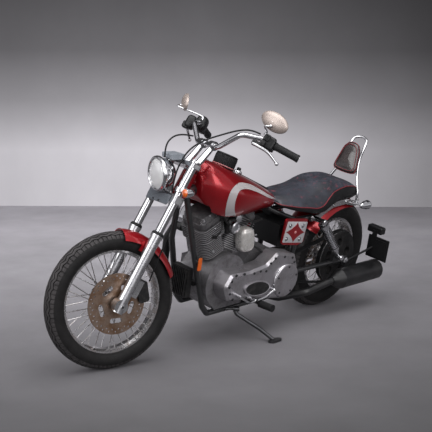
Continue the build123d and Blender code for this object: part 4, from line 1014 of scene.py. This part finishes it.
# Backrest loop and the bracket behind the pad
loop = Shape()
half_loop = [(-54, 119.1, 630), (-58, 118, 664), (-63, 110, 704), (-78, 84, 758), (-92, 66, 800),
             (-114, 50, 860), (-140, 49, 926), (-164, 42, 960), (-176, 16, 972)]
line = curve_between(half_loop + [(x, -y, z) for x, y, z in reversed(half_loop)], 7)
loop.tube(line, 7.5, sides=16)
loop_screws = Shape()
for side in (1, -1):
    for x, z in ((-54, 640), (-58, 662)):
        add_screw(loop_screws, (x, side * 126, z), (0, side, 0), 7, 5)
make(loop_screws, "backrest_screws", BIKE, ["worn_chrome"], "chassis")
make(loop, "backrest_loop", BIKE, ["chrome"], "chassis", ["sissy_bar"])
bracket = Shape()
rounded_block(bracket, (0, 0, -3), (104, 96, 5), power=0.25)
for side in (1, -1):
    bracket.tube([(side * 34, 0, -3), (side * 34, 0, -22)], 6)
bracket.tube([(-50, 0, -21), (50, 0, -21)], 5)
make(bracket, "backrest_bracket", PAD, ["chrome"], "chassis")

# Side cover plates: red star between four round screws
plate_corners = [(551, 624), (383, 599), (400, 484), (571, 511)]


def on_plate(side, u, v, level):
    (ax, az), (bx, bz), (cx, cz), (dx, dz) = plate_corners
    x = (ax * (1 - u) + bx * u) * (1 - v) + (dx * (1 - u) + cx * u) * v
    z = (az * (1 - u) + bz * u) * (1 - v) + (dz * (1 - u) + cz * u) * v
    return Vector((x, side * level, z))


cover_face = 137.4
star_half, star_pinch = 0.49, 2.7
# Columns: share along and down the plate
stud_places = [(0.17, 0.19), (0.8, 0.19), (0.14, 0.83), (0.8, 0.83)]
for side, name in ((1, "left"), (-1, "right")):
    sheet = Shape()
    border = [(0.03, 0.0), (0.97, 0.0), (1.0, 0.04), (1.0, 0.96), (0.97, 1.0), (0.03, 1.0), (0.0, 0.96),
              (0.0, 0.04)]
    sheet.skin([[on_plate(side, 0.5 + (u - 0.5) * share, 0.5 + (v - 0.5) * share, level) for u, v in border]
                for share, level in ((1, cover_face), (1, cover_face + 1.6), (0.98, cover_face + 2.2),
                                     (0.02, cover_face + 2.2))])
    make(sheet, f"cover_plate_{name}", BIKE, ["silver"], "chassis")
    star = Shape()
    rings = []
    for share, level in ((1.0, 2.0), (0.99, 3.0), (0.9, 3.4), (0.02, 3.4)):
        ring = []
        for step in range(64):
            a = tau * step / 64
            u = 0.5 + star_half * share * soft(cos(a), star_pinch)
            v = 0.5 + star_half * share * soft(sin(a), star_pinch)
            ring.append(on_plate(side, u, v, cover_face + level))
        rings.append(ring)
    star.skin(rings)
    make(star, f"cover_star_{name}", BIKE, ["red"], "chassis")
    studs = Shape()
    for u, v in stud_places:
        seat_point = on_plate(side, u, v, cover_face + 2)
        studs.lathe([(9.5, 0), (9.5, 1.2), (8, 3.2), (4, 4.6), (0.1, 5)], seat_point, (0, side, 0), steps=24)
        studs.lathe([(9.4, 0.2), (11.5, 0.2), (11.5, 1.2), (9.4, 1.2)], seat_point, (0, side, 0), 1,
                    closed=True, steps=24)
    studs.lathe([(9, 0), (7, 2.4), (0.1, 3)], on_plate(side, 0.5, 0.5, cover_face + 3), (0, side, 0), 2,
                steps=20)
    make(studs, f"cover_screws_{name}", BIKE, ["chrome", "bolt", "pink"], "chassis")

# Primary cover: screws round it, the round derby plate's rim and the oval inspection cover
primary_face = 190.0
derby_place = (564, primary_face, 322)
derby_screw_ring = 76
primary_outline = [(98, 361), (56, 424), (-83, 418), (-204, 432), (-281, 486), (-435, 452), (-466, 383),
                   (-458, 236), (-361, 217), (-170, 250), (58, 280)]
middle = sum((Vector(point) for point in primary_outline), Vector((0, 0))) / len(primary_outline)
screws = Shape()
for (ax, az), (bx, bz) in zip(primary_outline, primary_outline[1:] + primary_outline[:1]):
    for share in (0.0, 0.5):
        spot = Vector((ax + (bx - ax) * share, az + (bz - az) * share))
        spot += (middle - spot).normalized() * (24 if share else 32)
        add_screw(screws, (crank.x + spot.x, primary_face, spot.y), (0, 1, 0), 7, 3)
for k in range(5):
    a = radians(72 * k + 20)
    around_derby = Vector((cos(a), 0, sin(a))) * derby_screw_ring
    add_screw(screws, Vector(derby_place) + around_derby + Vector((0, 13, 0)), (0, 1, 0), 6, 4)
make(screws, "primary_screws", BIKE, ["bolt"], "chassis")
make_turned([(80, 12), (86, 12.5), (90.5, 10), (93.5, 5), (94, -2), (91, -2), (91, 5), (87, 10.5)],
            derby_place, (0, 1, 0), "derby_rim", BIKE, "chrome", "chassis", closed=True, steps=72)
oval = Shape()
oval_tilt = radians(8)
rings = []
for share, level in ((1.0, 4), (1.0, 8), (0.96, 10), (0.88, 9), (0.84, 7.5), (0.02, 7.5)):
    ring = []
    for k in range(56):
        a, b = 104 * share * cos(tau * k / 56), 40 * share * sin(tau * k / 56)
        ring.append(Vector((787 + a * cos(oval_tilt) - b * sin(oval_tilt), primary_face + level,
                            318 + a * sin(oval_tilt) + b * cos(oval_tilt))))
    rings.append(ring)
oval.skin(rings)
# The oval's black middle is black metal and, in part, painted shade of a hollow.
oval.finishes = [1 if at // 56 >= 3 else 0 for at in range(len(oval.faces))]
make(oval, "inspection_cover_with_painted_shade", BIKE, ["grey_alloy", "black_metal"], "chassis")
linkage = Shape()
linkage.tube(curve_between([(934, 214, 306), (900, 216, 284), (856, 218, 262), (824, 218, 262)], 5), 6.5)
linkage.tube([(800, 218, 262), (736, 218, 270), (676, 218, 296)], 6)
linkage.lathe([(13, -24), (13, 8), (11, 11), (0.1, 12)], (812, 214, 262), (0, 1, 0), steps=24)
linkage.lathe([(10, -28), (10, 8), (0.1, 9)], (934, 214, 306), (0, 1, 0), steps=20)
add_ball(linkage, (676, 218, 296), 10)
linkage.lathe([(9, -26), (9, 0), (0.1, 1)], (676, 216, 296), (0, 1, 0), steps=20)
make(linkage, "shift_linkage", BIKE, ["chrome"], "chassis")

# Horn cover: squarer below than above
horn_half, horn_half_height, horn_slant = 50, 66, 0.14
horn_square, horn_round = 0.62, 0.8
horn = Shape()
rings = []
for share, level in ((0.9, 82), (0.97, 85), (1.0, 92), (1.0, 110), (0.98, 120), (0.93, 129), (0.82, 135),
                     (0.6, 139), (0.02, 140)):
    ring = []
    for k in range(48):
        a = tau * k / 48
        x = soft(cos(a), horn_square) * horn_half
        z = soft(sin(a), horn_square if sin(a) < 0 else horn_round) * horn_half_height
        ring.append(Vector((838 + x * share + z * share * horn_slant, level, 562 + z * share)))
    rings.append(ring)
horn.skin(rings)
horn.tube([(846, 60, 564), (844, 86, 564)], 16)
horn.lathe([(30, 58), (33, 60), (33, 78), (26, 84)], (844, 0, 562), (0, 1, 0), steps=32)
make(horn, "horn_cover", BIKE, ["cream"], "chassis", ["horn"])

# Carburettor, plugs, leads, hoses and bolts between the cylinders
works = Shape()
rounded_block(works, (935, 66, 640), (70, 70, 80), power=0.5)
rounded_block(works, (990, 60, 690), (60, 60, 40), power=0.5)
works.lathe([(26, 0), (30, 4), (30, 22), (24, 26), (20, 18), (0.1, 16)], (935, 96, 640), (0, 1, 0), 1)
works.lathe([(16, 0), (18, 3), (18, 10), (0.1, 12)], (900, 92, 676), (0.2, 1, 0.2), 1, steps=24)
for way in (1, -1):
    plug = Vector((935 + way * 118, 60, 594 if way > 0 else 604))
    works.tube([plug, plug + Vector((way * 6, 26, 6)), plug + Vector((way * 8, 46, 12))], 9, sides=12)
    works.tube(curve_between([plug + Vector((way * 8, 46, 12)), plug + Vector((-way * 10, 60, 60)),
                              (935 + way * 60, 66, 700), (935, 30, 715)], 6), 4, sides=10)
works.tube(curve_between([(960, 90, 650), (1010, 104, 690), (1004, 92, 720), (960, 60, 730)], 6), 5, sides=10)
works.tube(curve_between([(880, 80, 640), (820, 100, 650), (760, 92, 640), (700, 80, 640)], 6), 6, sides=10)
works.tube(curve_between([(860, 84, 500), (800, 98, 520), (740, 110, 500), (690, 110, 470)], 6), 6, sides=10)
for x, z in ((1010, 600), (1050, 640), (880, 610), (820, 640), (760, 590), (730, 560), (1040, 520)):
    add_screw(works, (x, 84, z), (0, 1, 0), 6, 5, 1)
make(works, "engine_fittings", BIKE, ["black_metal", "alloy"], "chassis")

# Rocker covers' screws
tops = Shape()
rocker_top = 384
for way in (1, -1):
    up_line = cylinder_line(way)
    across_line = Vector((0, 1, 0)).cross(up_line)
    for ahead in (-44, 0, 44):
        for side in (1, -1):
            place = crank + up_line * rocker_top + across_line * ahead + Vector((0, side * 62, 0))
            add_screw(tops, place, up_line, 6, 6)
make(tops, "rocker_screws", BIKE, ["alloy"], "chassis")

# Amber side reflector on its stay
amber = Shape()
rounded_block(amber, (1152, 108, 480), (24, 6, 66), power=0.25)
make(amber, "side_reflector", BIKE, ["orange"], "chassis")
stay = Shape()
stay.tube([(1152, 104, 482), (1158, 92, 492), (1168, 72, 506)], 6)
rounded_block(stay, (1152, 104, 480), (28, 4, 72), power=0.25)
make(stay, "reflector_stay", BIKE, ["black"], "chassis")

# Fins on the regulator
fins = Shape()
for k in range(9):
    fins.block((1172, -48 + 12 * k, 360), (12, 4, 138))
make(fins, "regulator_fins", BIKE, ["black_metal"], "chassis", bevel=0.8)

# Nuts on the shocks, the fender's struts, the rear axle and the swingarm's pin
ends = Shape()
for side in (1, -1):
    for x, z in ((300, 600), (88, 362)):
        ends.lathe([(15, 0), (16, 2), (16, 9), (13, 13), (6, 14), (0.1, 14)], (x, side * 184, z),
                   (0, side, 0), steps=24)
    for x, z in ((147, 653), (37, 659)):
        ends.lathe([(8, 0), (8, 3), (6, 6), (0.1, 7)], (x, side * 116.3, z), (0, side, 0), steps=16)
    ends.lathe([(18, 0), (20, 2), (20, 8), (14, 12), (13, 16), (0.1, 17)], (0, side * 155, 320),
               (0, side, 0), steps=6)
    ends.lathe([(16, 0), (18, 2), (18, 6), (12, 9), (0.1, 9)], (446, side * 155, 330), (0, side, 0), steps=6)
make(ends, "axle_and_shock_nuts", BIKE, ["chrome"], "chassis")

# Bright edge of the belt pulley
make_turned([(138, 96.5), (149, 98), (151, 96.5), (151, 95), (138, 94)], (0, 0, 0), (0, 1, 0),
            "pulley_edge", REAR, "worn_chrome", "rear_wheel", closed=True, steps=96)


# Camera, where the photograph was taken from
ground = BIKE.translation.copy()
ground.z = 0.0
camera_place = ground + Vector((5.2083, 4.0576, 1.745))
camera_yaw, camera_pitch, camera_roll = radians(-137.22), radians(-10.66), radians(0.17)
camera_lens = 98.74
ahead = Vector((cos(camera_pitch) * cos(camera_yaw), cos(camera_pitch) * sin(camera_yaw), sin(camera_pitch)))
right = ahead.cross(Vector((0, 0, 1))).normalized()
up = right.cross(ahead)
rolled_right = right * cos(camera_roll) + up * sin(camera_roll)
rolled_up = up * cos(camera_roll) - right * sin(camera_roll)
camera = bpy.data.objects.new("camera", bpy.data.cameras.new("camera"))
camera.data.lens = camera_lens
camera.data.sensor_width = 36.0
camera.data.clip_end = 100.0
camera.matrix_world = Matrix.Translation(camera_place) @ Matrix(
    (rolled_right, rolled_up, -ahead)).transposed().to_4x4()
bpy.context.scene.collection.objects.link(camera)
bpy.context.scene.camera = camera

# Floor and backdrop: greys with painted light and shade, fading upwards, towards the camera and to the right
flat_ahead = Vector((cos(camera_yaw), sin(camera_yaw), 0))
flat_right = Vector((-flat_ahead.y, flat_ahead.x, 0)) * -1
camera_ground = Vector((camera_place.x, camera_place.y, 0))
wall_distance = 9.7
wall_height = 7.0
stage_reach = 14.0


def ramp_along(tree, direction, origin, stops):
    """Ramp along a direction. Stops: distance from the origin, red, green, blue."""
    dot = tree.nodes.new("ShaderNodeVectorMath")
    dot.operation = "DOT_PRODUCT"
    tree.links.new(place_node(tree), dot.inputs[0])
    dot.inputs[1].default_value = direction
    first, last = stops[0][0], stops[-1][0]
    start = Vector(origin).dot(direction)
    along = range_node(tree, dot.outputs["Value"], 0.0, 1.0, start + first, start + last)
    return ramp_node(tree, along, [((at - first) / (last - first), *colour) for at, *colour in stops])


def greys(rows):
    """Slightly mauve greys of the given levels."""
    return [(at, level * 1.02, level * 0.985, level * 1.05) for at, level in rows]


def painted_stage_material(name, rough, direction, rows, side_rows, mottle):
    """Matt grey with painted light and shade that change along one direction and from side to side."""
    made, tree, shader = new_material(name, (0.3, 0.3, 0.3), rough)
    painted_light_ahead = ramp_along(tree, direction, camera_ground, greys(rows))
    painted_shade_aside = ramp_along(tree, flat_right, camera_ground, [(at, *[level] * 3) for at, level in side_rows])
    stains = ramp_node(tree, noise_node(tree, 3.2, 5.0, 0.6),
                       [(0.3, *[1 - mottle] * 3), (0.7, *[1 + mottle] * 3)])
    both_ways = mix_node(tree, 1.0, painted_light_ahead, painted_shade_aside, "MULTIPLY")
    colour = mix_node(tree, 1.0, both_ways, stains, "MULTIPLY")
    tree.links.new(colour, shader.inputs["Base Color"])
    return made, tree, shader, colour


def add_stage(name, corners, made):
    """Flat sheet that isn't part of the object."""
    mesh = bpy.data.meshes.new(name)
    mesh.from_pydata(corners, [], [[0, 1, 2, 3]])
    mesh.materials.append(made)
    sheet = bpy.data.objects.new(name, mesh)
    bpy.context.scene.collection.objects.link(sheet)


def glow_with_painted_light(tree, shader, colour):
    """The camera and mirrors see the painted light and shade as a glow; other rays see the matt surface.

    The sheet has a front only, so that it hides nothing from a place behind it.
    """
    light = tree.nodes.new("ShaderNodeLightPath")
    glow = tree.nodes.new("ShaderNodeEmission")
    tree.links.new(colour, glow.inputs["Color"])
    seen = tree.nodes.new("ShaderNodeMath")
    seen.operation = "MAXIMUM"
    tree.links.new(light.outputs["Is Camera Ray"], seen.inputs[0])
    tree.links.new(light.outputs["Is Glossy Ray"], seen.inputs[1])
    either = tree.nodes.new("ShaderNodeMixShader")
    tree.links.new(seen.outputs["Value"], either.inputs["Fac"])
    tree.links.new(shader.outputs["BSDF"], either.inputs[1])
    tree.links.new(glow.outputs["Emission"], either.inputs[2])
    clear = tree.nodes.new("ShaderNodeMixShader")
    side = tree.nodes.new("ShaderNodeNewGeometry")
    tree.links.new(side.outputs["Backfacing"], clear.inputs["Fac"])
    tree.links.new(either.outputs["Shader"], clear.inputs[1])
    tree.links.new(tree.nodes.new("ShaderNodeBsdfTransparent").outputs["BSDF"], clear.inputs[2])
    tree.links.new(clear.outputs["Shader"], tree.nodes["Material Output"].inputs["Surface"])


# Painted light and shade on the floor: brightest far off, darker near the camera, by the wall and to the
# right.
floor_painted_light = [(4.4, 0.05), (5.2, 0.1), (5.85, 0.152), (6.65, 0.24), (7.7, 0.366), (8.7, 0.47), (9.4, 0.345),
              (9.7, 0.317)]
floor_painted_side_shade = [(-0.4, 1.0), (0.3, 0.96), (0.9, 0.72), (1.6, 0.58)]
painted_floor = painted_stage_material("studio_floor_painted_light", 0.75, flat_ahead, floor_painted_light, floor_painted_side_shade, 0.1)[0]
add_stage("studio_floor_painted_light", [(-stage_reach, -stage_reach, 0), (stage_reach, -stage_reach, 0),
                           (stage_reach, stage_reach, 0), (-stage_reach, stage_reach, 0)], painted_floor)
# Painted light and shade on the backdrop: brightest low down, darkening upwards and to the sides, most to the
# right.
wall_painted_light = [(0.0, 0.6), (0.47, 0.62), (0.88, 0.31), (1.29, 0.145), (1.7, 0.1), (2.4, 0.08)]
wall_painted_side_shade = [(-1.7, 0.85), (-1.0, 1.0), (-0.1, 1.0), (0.85, 0.72), (1.75, 0.4)]
painted_wall, tree, shader, wall_painted_light_colour = painted_stage_material("studio_wall_painted_light", 0.9, Vector((0, 0, 1)), wall_painted_light,
                                                      wall_painted_side_shade, 0.03)
# The backdrop glows with its painted light for the camera and mirrors.
glow_with_painted_light(tree, shader, wall_painted_light_colour)
wall_foot = camera_ground + flat_ahead * wall_distance
wall_top = Vector((0, 0, wall_height))
add_stage("studio_wall_painted_light", [wall_foot - flat_right * stage_reach, wall_foot + flat_right * stage_reach,
                          wall_foot + flat_right * stage_reach + wall_top,
                          wall_foot - flat_right * stage_reach + wall_top], painted_wall)


# Light
def add_lamp(name, place, target, size, power):
    lamp = bpy.data.lights.new(name, "AREA")
    lamp.shape = "RECTANGLE"
    lamp.size, lamp.size_y = size
    lamp.energy = power
    made = bpy.data.objects.new(name, lamp)
    turn = (Vector(target) - Vector(place)).to_track_quat("-Z", "Y")
    made.matrix_world = Matrix.Translation(place) @ turn.to_matrix().to_4x4()
    bpy.context.scene.collection.objects.link(made)


aim = (0, 0, 0.5)
add_lamp("overhead", (0.8, 0.6, 4.4), aim, (5.0, 3.6), 203)
add_lamp("from_the_left", (1.5, 5.2, 3.0), aim, (4.4, 3.2), 181)
add_lamp("from_the_front", (5.2, -0.6, 3.0), aim, (3.8, 3.0), 138)
add_lamp("from_behind", (-4.5, -2.5, 3.0), aim, (3.6, 2.4), 116)

# Sky, brightest at the horizon
world = bpy.data.worlds.new("studio")
world.use_nodes = True
bpy.context.scene.world = world
sky = world.node_tree
direction = sky.nodes.new("ShaderNodeTexCoord").outputs["Generated"]
height = sky.nodes.new("ShaderNodeSeparateXYZ")
sky.links.new(direction, height.inputs["Vector"])
sky.links.new(ramp_node(sky, range_node(sky, height.outputs["Z"], 0.0, 1.0, -1.0, 1.0), [
    (0.0, 0.2, 0.195, 0.21), (0.48, 0.3, 0.29, 0.31), (0.52, 0.62, 0.61, 0.64), (0.62, 0.3, 0.295, 0.31),
    (1.0, 0.3, 0.295, 0.31)]), sky.nodes["Background"].inputs["Color"])
sky.nodes["Background"].inputs["Strength"].default_value = 1.67
bpy.context.scene.view_settings.view_transform = "Standard"
